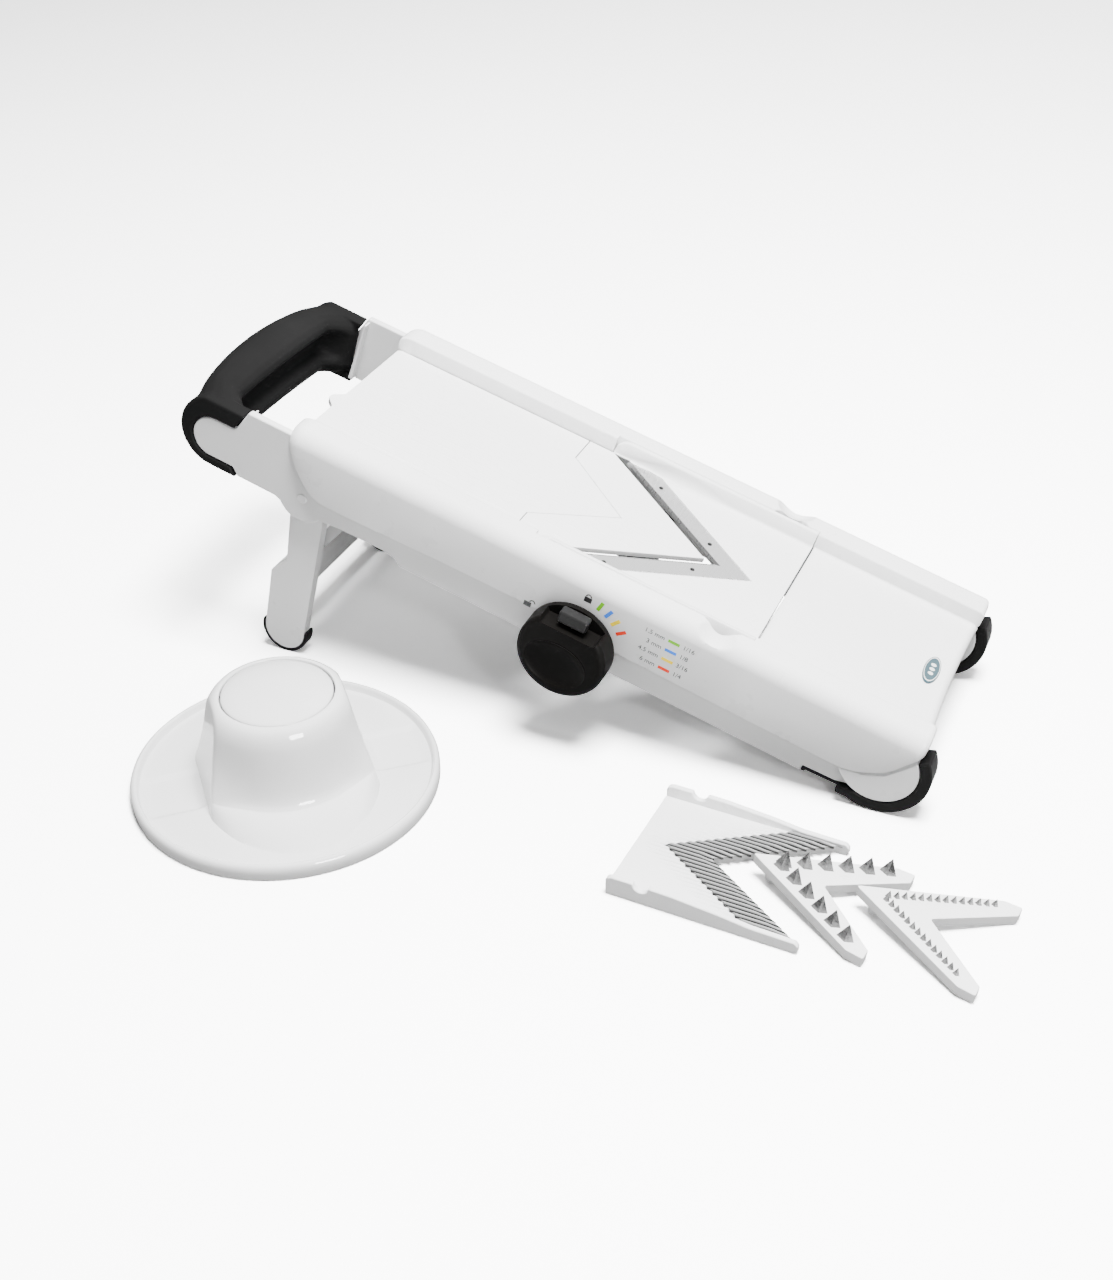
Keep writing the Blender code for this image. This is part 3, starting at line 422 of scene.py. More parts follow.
def scoop(u, d):
    """Depth of the finger scoop in the shell's shoulder."""
    middle, half_length, half_width, depth = 0.064, 0.0106, 0.0115, 0.005
    q = ((u - GRIP_SPOT) / half_length) ** 2 + ((d - middle) / half_width) ** 2
    return depth * max(0.0, 1.0 - q)


def finger_gap(u):
    """How far the shell's inner edge bows out beside the insert."""
    half_length, width, fullness = 0.0092, 0.004, 0.7
    t = (u - GRIP_SPOT) / half_length
    return width * max(0.0, 1.0 - t * t) ** fullness


def rail_section(u, big):
    """Closed section of one rail at u, as (distance from the middle, w) points."""
    left = quarter(u - DECK_LEFT, 0.0075)
    right = quarter(DECK_RIGHT - u, 0.003)
    outer = SHELL_HALF - 0.75 * left - right
    top = RAIL_TOP - 0.5 * left - 0.6 * right
    bottom = min(wall_bottom(u), top - 0.003)
    inner = POCKET_HALF + finger_gap(u) if POCKET_LEFT < u < POCKET_RIGHT else CHANNEL_HALF
    foot_r, crest_r = 0.0012, 0.0009
    shoulder_w = min(0.0085 if big else 0.004, top - bottom - 0.0018)
    shoulder_v = min(0.0078 if big else 0.0042, shoulder_w)
    foot = arc(outer - foot_r, bottom + foot_r, foot_r, -90.0, 0.0, 3)
    quarters = [radians(9.0 * i) for i in range(11)]
    start, end = outer - shoulder_v, inner + crest_r
    crown = [(start + shoulder_v * cos(a), top - shoulder_w + shoulder_w * sin(a)) for a in quarters]
    crown += [(start + (end - start) * i / 12.0, top) for i in range(1, 13)]
    crown += arc(end, top - crest_r, crest_r, 90.0, 180.0, 3)[1:]
    points = foot + [(d, min(w, RAIL_TOP - scoop(u, d))) for d, w in crown]
    lip_width, cover = 0.0024, 0.0018
    low = max(-0.0118, bottom + 0.0006)
    under = max(top - 0.003, low + 0.0002)
    if scoop(u, outer) > 0.0:
        under = min(under, RAIL_TOP - scoop(u, outer - WALL) - cover)
    points += [(inner, min(low + 0.0006, points[-1][1] - 0.0002)), (inner + 0.0006, low)]
    points += [(inner + lip_width, low), (inner + lip_width, under)]
    return points + [(outer - WALL, under), (outer - WALL, bottom)]


def shell_rails():
    """Both rails with their side walls, swept along the deck."""
    tiny, last = 0.00002, 1.0
    places = spread((DECK_LEFT, 0.0006), (-0.233, 0.0015), (-0.215, 0.006), (POCKET_LEFT - tiny, last))
    places += spread((POCKET_LEFT + tiny, 0.006), (-0.03, 0.0008), (POCKET_RIGHT - tiny, last))
    places += spread((POCKET_RIGHT + tiny, 0.006), (0.055, 0.002), (0.086, 0.0005), (DECK_RIGHT, last))
    for name, side in SIDES:
        rings = [[(u, side * d, w) for d, w in rail_section(u, side < 0)] for u in places]
        node = ("upper_shell",) if side < 0 else ()
        skinned(f"shell_rail_{name}", rings, "slicer_body", WHITE, caps=True, stands_for=node, sharp=50.0)


def landing():
    """Landing behind the insert, with fillets up to the rails and a soft lip at its end."""
    half, fillet, lip_r, lip_bottom, bow = CHANNEL_HALF + 0.00015, 0.0016, 0.0038, -0.0094, 0.0016
    steps = 60
    rings = []
    for i in range(steps + 1):
        v = half * sin(pi / 2.0 * (2.0 * i / steps - 1.0))
        gap = max(0.0, fillet - (half - abs(v)))
        lift = fillet - sqrt(max(0.0, fillet * fillet - gap * gap))
        end = DECK_RIGHT - bow * (1.0 - (v / half) ** 2)
        ring = [(0.00045, -PLATE), (0.00045, lift - 0.0004), (0.0008, lift)]
        ring += [(0.0007 + (end - lip_r - 0.0014) * k / 14.0, lift) for k in range(1, 15)]
        ring += arc(end - lip_r, lift - lip_r, lip_r, 90.0, 0.0, 9)
        ring += [(end, lip_bottom + 0.0006), (end - 0.0008, lip_bottom), (end - 0.0022, lip_bottom)]
        ring += [(end - 0.003, lip_bottom + 0.0006), (end - 0.003, -PLATE - 0.0015), (end - 0.0045, -PLATE)]
        rings.append([(u, v, w) for u, w in ring])
    skinned("shell_landing", rings, "slicer_body", WHITE, caps=True, sharp=50.0)
    tie = [(-0.238, -0.018), (-0.238, -0.0133), (-0.23, -0.0133), (-0.23, -0.018)]
    round_edges(side_plate("shell_tie", tie, -0.0518, 0.0518, 1, "slicer_body", WHITE), 0.0006, 2)


BADGE_LONG, BADGE_SHORT = 0.0112, 0.004
MARK_SHARE = 0.0036 / BADGE_LONG        # length of the small ovals on the badge, as a share of its own


def badge():
    """Plain oval badge with a thin rim line and no mark of any maker."""
    low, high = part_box("landing_badge")
    centre = DECK.inverted() @ ((low + high) / 2.0)
    bm = bmesh.new()
    oval(bm, centre, 1.0, ((1.0, 0.0001), (1.0, 0.0005), (0.97, 0.0008), (0.5, 0.00085), (0.2, 0.00085)))
    add("badge_oval", bm, "slicer_body", BADGE, ("landing_badge",), "badge")
    bm = bmesh.new()
    oval(bm, centre, 1.0, ((0.9, 0.0007), (0.9, 0.00095), (0.83, 0.00095), (0.83, 0.0007)), loop=True)
    for shift in (-0.0036, 0.0, 0.0036):
        middle = centre + Vector((0.0, shift, 0.0))
        oval(bm, middle, MARK_SHARE, ((0.34, 0.0007), (0.34, 0.00095), (0.12, 0.00095)))
    add("badge_mark", bm, "slicer_body", BADGE_MARK, (), "badge")


def oval(bm, centre, stretch, steps, loop=False):
    """Adds an oval raised in steps of (size, height), closed in the middle or as a ring."""
    shape = circle(0.0, 0.0, 1.0, 64)
    short, long = BADGE_SHORT, BADGE_LONG * stretch
    rings = [[(centre.x + short * k * x, centre.y + long * k * y, w) for x, y in shape] for k, w in steps]
    skin(bm, rings, loop=loop, caps=not loop)


# ---------- cheeks, tyres and handle

def cheek_outline():
    """Outline of a cheek: handle tongue, foot, lower edge and the lobe round the leg's pivot."""
    tongue = arc(TONGUE_U, TONGUE_W, TONGUE_R, 270.0, 90.0, 28)
    shoulder = [(-0.2697, -0.0094), (-0.264, 0.0032), (-0.236, 0.0032), (-0.232, -0.008)]
    shoulder += [(0.058, -0.008)]
    hub = arc(FOOT_U, FOOT_W, HUB_R, 140.0, -105.0, 48)
    bottom = FOOT_W - FOOT_R
    sole = [(0.06, -0.0372), (0.044, -0.0378), (0.044, bottom), (-0.172, bottom + 0.0004)]
    step = [(-0.1745, -0.0375), (-0.182, -0.036), (-0.206, -0.0362)]
    lobe = arc(-0.2283, -0.0292, 0.0136, -38.0, -146.0, 20)
    arm = [(-0.243, -0.0354), (-0.2645, -0.0352), (-0.268, TONGUE_W - TONGUE_R)]
    return tongue + shoulder + hub + sole + step + lobe + arm


# Space under the shell's side wall, which the foot's hub stays clear of
UNDER_SHELL = ((-0.3, 0.05), (-0.3, -0.031), (0.056, -0.0268), (0.07, -0.0239), (0.079, -0.0192),
               (0.085, -0.0112), (0.09, -0.004), (0.098, 0.015), (0.098, 0.05))


def cheeks():
    """Side cheeks with rounded edges, the hubs of the feet, and two ribs inside each handle arm."""
    for name, side in SIDES:
        # the cheek plate takes the white darkened with painted shade under the shell's wall
        cheek = side_plate(f"cheek_{name}", cheek_outline(), CHEEK_IN, CHEEK_OUT, side, "slicer_body", CHEEK_PAINTED_SHADE,
                           stands_for=(f"{name}_cheek",))
        round_edges(cheek, 0.0009)
        hub = side_plate(f"cheek_hub_{name}", circle(FOOT_U, FOOT_W, HUB_R - 0.00005, 72), FOOT_IN,
                         FOOT_OUT - 0.0004, side, "slicer_body", WHITE)
        low, high = sorted((side * (CHEEK_OUT + 0.0003), side * 0.075))
        cut_prism(hub, UNDER_SHELL, low, high)
        round_edges(hub, 0.0009)
        for label, u_low, u_high in (("a", -0.2668, -0.2643), ("b", -0.244, -0.242)):
            outline = [(u_low, -0.034), (u_high, -0.034), (u_high + 0.0015, 0.0012), (u_low + 0.003, 0.0012)]
            piece = side_plate(f"arm_rib_{name}_{label}", outline, 0.0532, CHEEK_IN + 0.0005, side,
                               "slicer_body", WHITE)
            round_edges(piece, 0.0008)


def foot_tyres():
    """Rubber tyres with a rounded tread, and the hooked strip under each cheek."""
    outer = arc(FOOT_U, FOOT_W, FOOT_R - 0.00005, 38.0, -106.0, 56)
    hook = [(0.064, -0.0402), (0.0622, -0.0402), (0.0618, -0.0373)]
    inner = arc(FOOT_U, FOOT_W, HUB_R + 0.00035, -104.0, 40.0, 48)
    strip = [(0.063, -0.0373), (0.063, -0.0385), (0.0462, -0.0391), (0.0456, -0.0403), (0.044, -0.0403)]
    strip += [(0.044, -0.0379), (0.06, -0.0373)]
    v_in = FOOT_IN + 0.0001
    for name, side in SIDES:
        tyre = side_plate(f"tyre_{name}", outer + hook + inner, v_in, FOOT_OUT, side, "slicer_body", TYRE,
                          stands_for=(f"{name}_foot_tyre",), slot="black_rubber")
        round_edges(tyre, 0.0007, 3, 25.0)
        sole = side_plate(f"sole_strip_{name}", strip, v_in, CHEEK_OUT + 0.0002, side, "slicer_body", TYRE,
                          slot="black_rubber")
        round_edges(sole, 0.0003, 2)


# Handle's section, as shares of its width and height: bowed top, crease, finger groove, lip and underside
GRIP_TOP = ((0.0, 0.45), (0.02, 0.66), (0.07, 0.82), (0.16, 0.93), (0.3, 0.985), (0.48, 1.0),
            (0.66, 0.985), (0.82, 0.945), (0.92, 0.89), (0.965, 0.82))
GRIP_GROOVE = ((0.93, 0.76), (0.82, 0.69), (0.73, 0.58), (0.7, 0.46), (0.76, 0.36), (0.88, 0.31),
               (0.96, 0.27))
GRIP_UNDER = ((1.0, 0.2), (0.97, 0.1), (0.88, 0.03), (0.72, 0.0), (0.5, 0.0), (0.28, 0.02),
              (0.12, 0.1), (0.03, 0.25))
GRIP_HALF = 0.0573


def grip_section(v):
    """Section of the handle at one place across the deck."""
    t = min(1.0, abs(v) / GRIP_HALF)
    bow, flare = t ** 2.0, smooth_step(t, 0.72, 1.0)
    back = -0.3052 + 0.0084 * bow
    front = -0.2778 + 0.0112 * flare
    top = 0.0034 - 0.0026 * bow
    bottom = -0.0318 - 0.0022 * bow
    filled = smooth_step(t, 0.8, 0.93)
    groove = [(x + (0.985 - x) * filled, y) for x, y in GRIP_GROOVE]
    section = list(GRIP_TOP) + groove + list(GRIP_UNDER)
    return [(back + (front - back) * x, v, bottom + (top - bottom) * y) for x, y in section]


def handle():
    """Soft black grip: a bowed bar joined to the bands that wrap the cheeks' tongues."""
    steps = 60
    rings = [grip_section(-GRIP_HALF + 2.0 * GRIP_HALF * i / steps) for i in range(steps + 1)]
    grip = skinned("grip", rings, "slicer_body", GRIP, caps=True, stands_for=("handle_grip",),
                   slot="black_grip")
    band_in, band_out, gap = 0.054, 0.0623, 0.0004
    outer = [(-0.2662, 0.0003)] + arc(-0.28, -0.0168, 0.0192, 115.0, 270.0, 40)
    lower = [(-0.2658, -0.036), (-0.269, TONGUE_W - TONGUE_R - gap)]
    hollow = arc(TONGUE_U, TONGUE_W, TONGUE_R + gap, 270.0, 90.0, 40) + [(-0.2702, -0.009)]
    for _, side in SIDES:
        low, high = sorted((side * band_in, side * band_out))
        cut_prism(grip, outer + lower + hollow, low, high, operation="UNION")
    remesh = grip.modifiers.new("remesh", "REMESH")
    remesh.mode = "VOXEL"
    remesh.voxel_size = 0.0006
    remesh.use_smooth_shade = True
    ease = grip.modifiers.new("ease", "SMOOTH")
    ease.factor = 0.5
    ease.iterations = 5
    apply_modifiers(grip)
    grip.data.shade_smooth()


# ---------- runway and blade insert

RUNWAY_HALF = CHANNEL_HALF - 0.0004
SEAM_GAP = 0.00044


def seam(shift):
    """Line between the runway plate and its nose, moved along u."""
    half = RUNWAY_HALF
    points = [(SEAM_U, half), (SEAM_U, SEAM_HALF), (SEAM_TIP, 0.0), (SEAM_U, -SEAM_HALF), (SEAM_U, -half)]
    return [(u + shift, v) for u, v in points]


def runway():
    """Runway plate with its tab, and the V nose whose slope meets the blade's slot."""
    half = RUNWAY_HALF
    left = DECK_LEFT + 0.001
    corner = 0.0025
    end = arc(left + corner, -half + corner, corner, 270.0, 180.0, 6)
    end += [(left, -0.0222), (left - 0.0012, -0.0205)] + arc(left - 0.0008, -0.015, 0.0042, 225.0, 135.0, 8)
    end += [(left - 0.0012, -0.0095), (left, -0.0078)]
    end += arc(left + corner, half - corner, corner, 180.0, 90.0, 6)
    plate = flat_plate("runway_main", seam(-SEAM_GAP / 2.0) + end, -PLATE, 0.0, "runway", RIBBED,
                       stands_for=("runway_plate",))
    round_edges(plate, 0.0003, 2)
    front = [(NOSE_TIP - V_SLOPE * half, -half), (NOSE_TIP, 0.0), (NOSE_TIP - V_SLOPE * half, half)]
    nose = flat_plate("runway_v_nose", seam(SEAM_GAP / 2.0) + front, -PLATE, 0.0, "runway", RIBBED,
                      stands_for=("runway_nose",))
    round_edges(nose, 0.0003, 2)
    count, spread_half, clear = 15, 0.042, 0.003
    for i in range(count):
        v = -spread_half + 2.0 * spread_half * i / (count - 1)
        reach = SEAM_U if abs(v) > SEAM_HALF else SEAM_TIP - (SEAM_TIP - SEAM_U) * abs(v) / SEAM_HALF
        rib(f"runway_rib_{i}", left + 0.01, reach - clear, v)
        rib(f"nose_rib_{i}", reach + clear, NOSE_TIP - V_SLOPE * abs(v) - 0.004, v)


def rib(name, start, end, v):
    """A faint raised line along the runway, running out at both ends."""
    shortest, run_out, height, sunk = 0.006, 0.004, 0.00022, 0.00003
    if end - start < shortest:
        return
    outline = [(v - 0.0008, 0.0), (v - 0.0003, height), (v + 0.0003, height), (v + 0.0008, 0.0)]
    places = ((start, 0.0), (start + run_out, 1.0), (end - run_out, 1.0), (end, 0.0))
    rings = [[(u, y, w * f - sunk) for y, w in outline] for u, f in places]
    skinned(name, rings, "runway", RIBBED, closed=False, sharp=0.0)


INSERT_RIGHT = -0.0004
INSERT_TIP = -0.0338            # tip of the V notch in the insert's floor


def insert_frame():
    """Blade insert: floor with the V, and side walls that flow into the rails."""
    side_in, side_out = CHANNEL_HALF, POCKET_HALF - 0.0003
    back = INSERT_TIP - V_SLOPE * side_in
    half = [(INSERT_RIGHT, side_out), (INSERT_LEFT, side_out), (INSERT_LEFT, side_in + 0.0001)]
    half += [(back, side_in)]
    outline = half + [(INSERT_TIP, 0.0)] + [(u, -v) for u, v in reversed(half)]
    plate = flat_plate("insert_floor", outline, -0.004, 0.0, "blade_insert", WHITE,
                       stands_for=("insert_frame",))
    tip_in, tip_out, half = -0.041, -0.01705, 0.0474
    run = V_SLOPE * half
    recess = [(tip_in, 0.0), (tip_in - run, half), (tip_out - run, half), (tip_out, 0.0),
              (tip_out - run, -half), (tip_in - run, -half)]
    cut_prism(plate, recess, -0.00115, 0.002, "w")
    round_edges(plate, 0.00022, 2)
    for name, side in SIDES:
        insert_wall(name, side)


def hump(x, middle, half):
    """A rounded hump of height one, round the middle."""
    t = min(1.0, abs(x - middle) / half)
    return (1.0 - t * t) ** 2


def insert_wall(name, side):
    """Side wall of the insert: a round-nosed fin with a hollow fillet down to the floor."""
    places = spread((INSERT_LEFT, 0.0005), (INSERT_LEFT + 0.008, 0.0025), (INSERT_RIGHT, 1.0))
    inner, outer, foot = CHANNEL_HALF - 0.0001, POCKET_HALF - 0.0004, -0.0005
    rings = []
    for u in places:
        nose = quarter(u - INSERT_LEFT, 0.0075)
        top = RAIL_TOP - 0.0002 - 0.9 * nose
        fillet = 0.0012 + 0.0045 * hump(u, -0.074, 0.03)
        reach, rise = fillet * 0.6, min(fillet * 1.3, max(0.0001, top - 0.001))
        ring = [(outer, foot), (outer, top - 0.0006), (outer - 0.0005, top)]
        ring += [(inner + 0.0007, top), (inner + 0.0001, top - 0.0006)]
        ring += [(inner - reach * (1.0 - cos(a)), 0.0001 + rise * (1.0 - sin(a))) for a in
                 [radians(18.0 * k) for k in range(6)]]
        ring += [(inner - reach, foot)]
        rings.append([(u, side * d, w) for d, w in ring])
    skinned(f"insert_wall_{name}", rings, "blade_insert", WHITE, caps=True, sharp=50.0)


def v_blade():
    """Ground V blade with a bevelled edge, and its four rivets."""
    tip_in, tip_out, half = -0.037, -0.0183, 0.0469
    bevel = 0.003
    rows = [(tip_in, -0.00078), (tip_in + bevel, -0.00005), (tip_out, -0.00005), (tip_out, -0.00085),
            (tip_in, -0.00085)]
    rings = [[(tip - V_SLOPE * abs(v), v, w) for tip, w in rows] for v in (-half, 0.0, half)]
    skinned("v_blade_ground", rings, "blade_insert", STEEL, caps=True, stands_for=("v_blade",), slot="steel",
            sharp=12.0)
    middle = 0.5 * (tip_in + bevel + tip_out)
    profile = [(0.0, -0.0031), (0.0012, -0.0031), (0.0012, 0.0), (0.00105, 0.00018)]
    profile += [(0.0006, 0.00028), (0.0, 0.0003)]
    for count, v in enumerate((-0.0385, -0.0127, 0.0127, 0.0385), start=1):
        place = DECK @ Matrix.Translation((middle - V_SLOPE * abs(v), v, 0.0))
        turned(f"rivet_head_{count}", profile, "blade_insert", RIVET, place, 24,
               stands_for=(f"blade_rivet_{count}",), slot="steel")


# ---------- knob and marks

def knob():
    """Thickness knob: a thick disc with a ledge for its button and a shallow scoop on its face."""
    place = DECK @ Matrix.Translation((KNOB_U, 0.0, KNOB_W)) @ Matrix.Rotation(pi / 2.0, 4, "X")
    corner, back, front = 0.003, KNOB_BACK, KNOB_FRONT
    edge = arc(KNOB_R - corner, front - corner, corner, 0.0, 90.0, 9)
    profile = [(0.0, back), (KNOB_R - 0.0008, back), (KNOB_R, back + 0.0008)] + edge + [(0.0, front)]
    disc = turned("knob_disc", profile, "knob", KNOB, place, 128, stands_for=("thickness_knob",),
                  slot="black_grip")
    ledge = [(-0.0135, 0.0145), (0.0135, 0.0145), (0.0165, 0.019), (0.0165, 0.032), (-0.0165, 0.032)]
    ledge += [(-0.0165, 0.019)]
    cut_prism(disc, ledge, 0.07, 0.09, "w", place)
    bm = bmesh.new()
    bmesh.ops.create_uvsphere(bm, u_segments=64, v_segments=32, radius=1.0)
    bmesh.ops.scale(bm, vec=(0.0165, 0.0125, 0.0042), verts=bm.verts)
    bmesh.ops.translate(bm, vec=(-0.001, -0.005, front + 0.0012), verts=bm.verts)
    boolean(disc, cutter(bm, place))
    round_edges(disc, 0.001, 4, 30.0)


def knob_button():
    """Raised rectangular button on the knob's ledge, in the place of its CAD node."""
    inverse = DECK.inverted()
    corners = [inverse @ v.co for v in frame["nodes"]["knob_button"].data.vertices]
    low = [min(c[k] for c in corners) for k in range(3)]
    high = [max(c[k] for c in corners) for k in range(3)]
    outline = rectangle(low[0], high[0], low[1], high[1])
    piece = flat_plate("knob_button_cap", outline, low[2], high[2] - 0.0006, "button", BUTTON,
                       stands_for=("knob_button",), slot="dark_button")
    round_edges(piece, 0.0012, 4)


def wall_mark(name, outline, finish):
    """A thin printed mark on the near wall, from a (u, w) outline."""
    v_in, v_out = SHELL_HALF - 0.0001, SHELL_HALF + 0.00006
    side_plate(name, outline, v_in, v_out, -1, "slicer_body", finish, slot=None)


def knob_marks():
    """Thickness marks, padlock icons and the small legend beside the knob."""
    mark_in, mark_out, half = 0.0246, 0.03, 0.0009
    for name, angle in (("green", 16.0), ("blue", 27.0), ("yellow", 38.0), ("red", 50.0)):
        a = radians(90.0 - angle)
        c, s = cos(a), sin(a)
        corners = rectangle(mark_in, mark_out, -half, half)
        corners = [(KNOB_U + r * c - t * s, KNOB_W + r * s + t * c) for r, t in corners]
        wall_mark(f"mark_{name}", corners, bar_material(name))
    lock_r, half = 0.0276, 0.0019
    for label, angle, open_by in (("lock", 2.0, 0.0), ("unlock", -70.0, 0.0022)):
        a = radians(90.0 - angle)
        u, w = KNOB_U + lock_r * cos(a), KNOB_W + lock_r * sin(a)
        wall_mark(f"{label}_body", rectangle(u - half, u + half, w - 0.0024, w + 0.0004), PRINT)
        outer = arc(u + open_by, w + 0.0006, 0.0016, 0.0, 180.0, 10)
        inner = arc(u + open_by, w + 0.0006, 0.001, 180.0, 0.0, 10)
        wall_mark(f"{label}_bow", outer + inner, PRINT)
    legend_u, legend_w, line, bar_u, bar_w, space = -0.0325, -0.0037, 0.0055, 0.0029, 0.0008, 0.0046
    rows = (("green", "1.5", "1/16"), ("blue", "3", "1/8"), ("yellow", "4.5", "3/16"), ("red", "6", "1/4"))
    for row, (name, metric, inch) in enumerate(rows):
        u, w = legend_u, legend_w - line * row
        wall_mark(f"legend_{name}", rectangle(u - bar_u, u + bar_u, w - bar_w, w + bar_w), bar_material(name))
        number(f"metric_{name}", metric + " mm", u - space, w, "RIGHT")
        number(f"inch_{name}", inch, u + space, w, "LEFT")


INK = 0.00004                   # half thickness of the printed figures


def number(name, words, u, w, align):
    """A printed number on the near wall."""
    curve = bpy.data.curves.new(name, "FONT")
    curve.body = words
    curve.size = 0.0034
    curve.extrude = INK
    curve.align_x = align
    curve.align_y = "CENTER"
    text = bpy.data.objects.new(name, curve)
    bpy.context.collection.objects.link(text)
    place = DECK @ Matrix.Translation((u, -SHELL_HALF - 0.00003, w))
    text.matrix_world = place @ Matrix.Rotation(pi / 2.0, 4, "X")
    curve.materials.append(PRINT)
    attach(text, "slicer_body")


# ---------- food holder

def holder_centre():
    """Middle of the food holder on the floor."""
    low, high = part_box("food_holder")
    return Vector(((low.x + high.x) / 2.0, (low.y + high.y) / 2.0, 0.0))


HOLDER = Matrix.Translation(holder_centre())
BAND_TURN = radians(42.0)       # direction of the band that crosses the holder's brim
BAND_HALF = 0.014
FACET = 0.0405                  # distance of the dome's flat sides from its middle, at the floor
FACET_LEAN = 0.21               # how far the flat sides lean in, for each metre of height


def smooth_min(a, b, k):
    """The smaller of two numbers, blended where they are closer than k."""
    h = max(0.0, min(1.0, 0.5 + 0.5 * (b - a) / k))
    return b + (a - b) * h - k * h * (1.0 - h)


def blend_rows(rows, z):
    """Radius at a height, from (radius, height) rows that run downwards."""
    for (ra, za), (rb, zb) in zip(rows, rows[1:]):
        if zb <= z <= za:
            return rb + (ra - rb) * (z - zb) / (za - zb)
    return rows[0][0] if z > rows[0][1] else rows[-1][0]


# Dome seen along the band, and across it where the skirt starts from a crease
DOME_ALONG = ((0.0284, 0.05), (0.03, 0.0491), (0.0314, 0.0477), (0.0325, 0.0461), (0.0334, 0.0443),
              (0.0342, 0.0421), (0.035, 0.0392), (0.0364, 0.033), (0.0388, 0.025), (0.0413, 0.019),
              (0.0432, 0.015), (0.0447, 0.0112))
DOME_ACROSS = ((0.0284, 0.05), (0.03, 0.0491), (0.0312, 0.0477), (0.0321, 0.0461), (0.0328, 0.0443),
               (0.0334, 0.0421), (0.0339, 0.0392), (0.0347, 0.033), (0.0355, 0.025), (0.0361, 0.019),
               (0.0367, 0.015), (0.0376, 0.0128), (0.0392, 0.0112))
CREASE = 0.0112                 # height of the crease where the skirt leaves the dome
SKIRT_ALONG, SKIRT_ACROSS = 0.043, 0.0612
BRIM_TOP = 0.0044
BRIM_EDGE = 0.0672              # radius where the brim turns up to its rim


def facet(r, z, along):
    """Cuts a radius back to the dome's flat side, with a rounded corner."""
    return smooth_min(r, (FACET - FACET_LEAN * z) / max(along, 0.05), 0.0009)


def holder_ring(part, t, z, a):
    """(radius, height) of the holder's skin: part says dome, skirt or brim, and t runs along the part."""
    along, across = abs(cos(a - BAND_TURN)), abs(sin(a - BAND_TURN))
    mix = smooth_step(across, 0.35, 0.85)
    if part == "dome":
        r = blend_rows(DOME_ALONG, z) * (1.0 - mix) + blend_rows(DOME_ACROSS, z) * mix
        return facet(r, z, along), z
    start = DOME_ALONG[-1][0] * (1.0 - mix) + DOME_ACROSS[-1][0] * mix
    edge = max(start + 0.001, 1.0 / sqrt((along / SKIRT_ALONG) ** 2 + (across / SKIRT_ACROSS) ** 2))
    if part == "skirt":
        height = BRIM_TOP + (CREASE - BRIM_TOP) * (1.0 - 0.4 * t - 0.6 * t ** 2.6)
        return facet(start + (edge - start) * t, height, along), height
    edge = facet(edge, BRIM_TOP, along) + 0.0002
    r = edge + (BRIM_EDGE - edge) * t
    return r, BRIM_TOP - 0.0003 * t + brim_relief(r, a)


def brim_relief(r, a):
    """Small step of the band across the brim, with soft edges."""
    depth, soft = 0.0013, 0.0004
    x, y = r * cos(a - BAND_TURN), r * sin(a - BAND_TURN)
    inside = 1.0 - smooth_step(abs(y), BAND_HALF - soft, BAND_HALF + soft)
    ends = smooth_step(abs(x), FACET, FACET + 0.0015) * (1.0 - smooth_step(r, BRIM_EDGE - 0.0022, BRIM_EDGE))
    return -depth * inside * ends


def food_holder():
    """Glossy holder: flat-sided dome with swelling skirts, crossed by a faint band, and a raised rim."""
    steps = 288
    lip = [(0.0265, 0.0488), (0.0265, 0.0498), (0.0268, 0.0502), (0.0276, 0.0502)]
    heights = [0.05, 0.0491, 0.0484, 0.0477, 0.0469, 0.0461, 0.0452, 0.0443, 0.0432, 0.0421]
    heights += [0.0407, 0.0392, 0.0365, 0.03, 0.025, 0.02, 0.016, 0.0135, 0.0122, 0.0114]
    rows = [("dome", 0.0, z) for z in heights]
    rows += [("skirt", k / 16.0, 0.0) for k in range(17)]
    rows += [("brim", (k / 12.0), 0.0) for k in range(13)]
    rim = [(0.0684, 0.0043), (0.0689, 0.005), (0.0692, 0.0064), (0.0696, 0.0073), (0.0703, 0.0077)]
    rim += [(0.0711, 0.0075), (0.0719, 0.0067), (0.0724, 0.0054), (0.0725, 0.004), (0.0725, 0.0008)]
    rim += [(0.0722, 0.0001), (0.0712, 0.0)]
    inside = [(0.07, 0.0003), (0.069, 0.0012), (0.056, 0.0014), (0.042, 0.0014), (0.0352, 0.002)]
    inside += [(0.0335, 0.008), (0.0327, 0.02), (0.0316, 0.032), (0.0308, 0.04), (0.0294, 0.045)]
    inside += [(0.028, 0.047), (0.0266, 0.0476)]
    turns = [2.0 * pi * i / steps for i in range(steps)]
    rings = [[(r, z)] * steps for r, z in lip]
    rings += [[holder_ring(part, t, z, a) for a in turns] for part, t, z in rows]
    rings += [[(r, z)] * steps for r, z in rim + inside]
    rings = [[(r * cos(a), r * sin(a), z) for (r, z), a in zip(ring, turns)] for ring in rings]
    skinned("holder_shell", rings, "food_holder", GLOSS, loop=True, stands_for=("food_holder",),
            slot="gloss_white", place=HOLDER, sharp=42.0)


def plunger():
    """Domed cap that fills the opening of the dome, with a thin gap round it."""
    profile = [(0.0, 0.0465), (0.025, 0.0465), (0.0257, 0.047), (0.0258, 0.0495), (0.0255, 0.05)]
    profile += [(0.0247, 0.0504), (0.0225, 0.0512), (0.0185, 0.052), (0.0135, 0.0527), (0.008, 0.0531)]
    profile += [(0.0, 0.0533)]
    turned("holder_cap", profile, "plunger", GLOSS, HOLDER, 160, stands_for=("plunger_cap",),
           slot="gloss_white", sharp=60.0)


# ---------- spare inserts

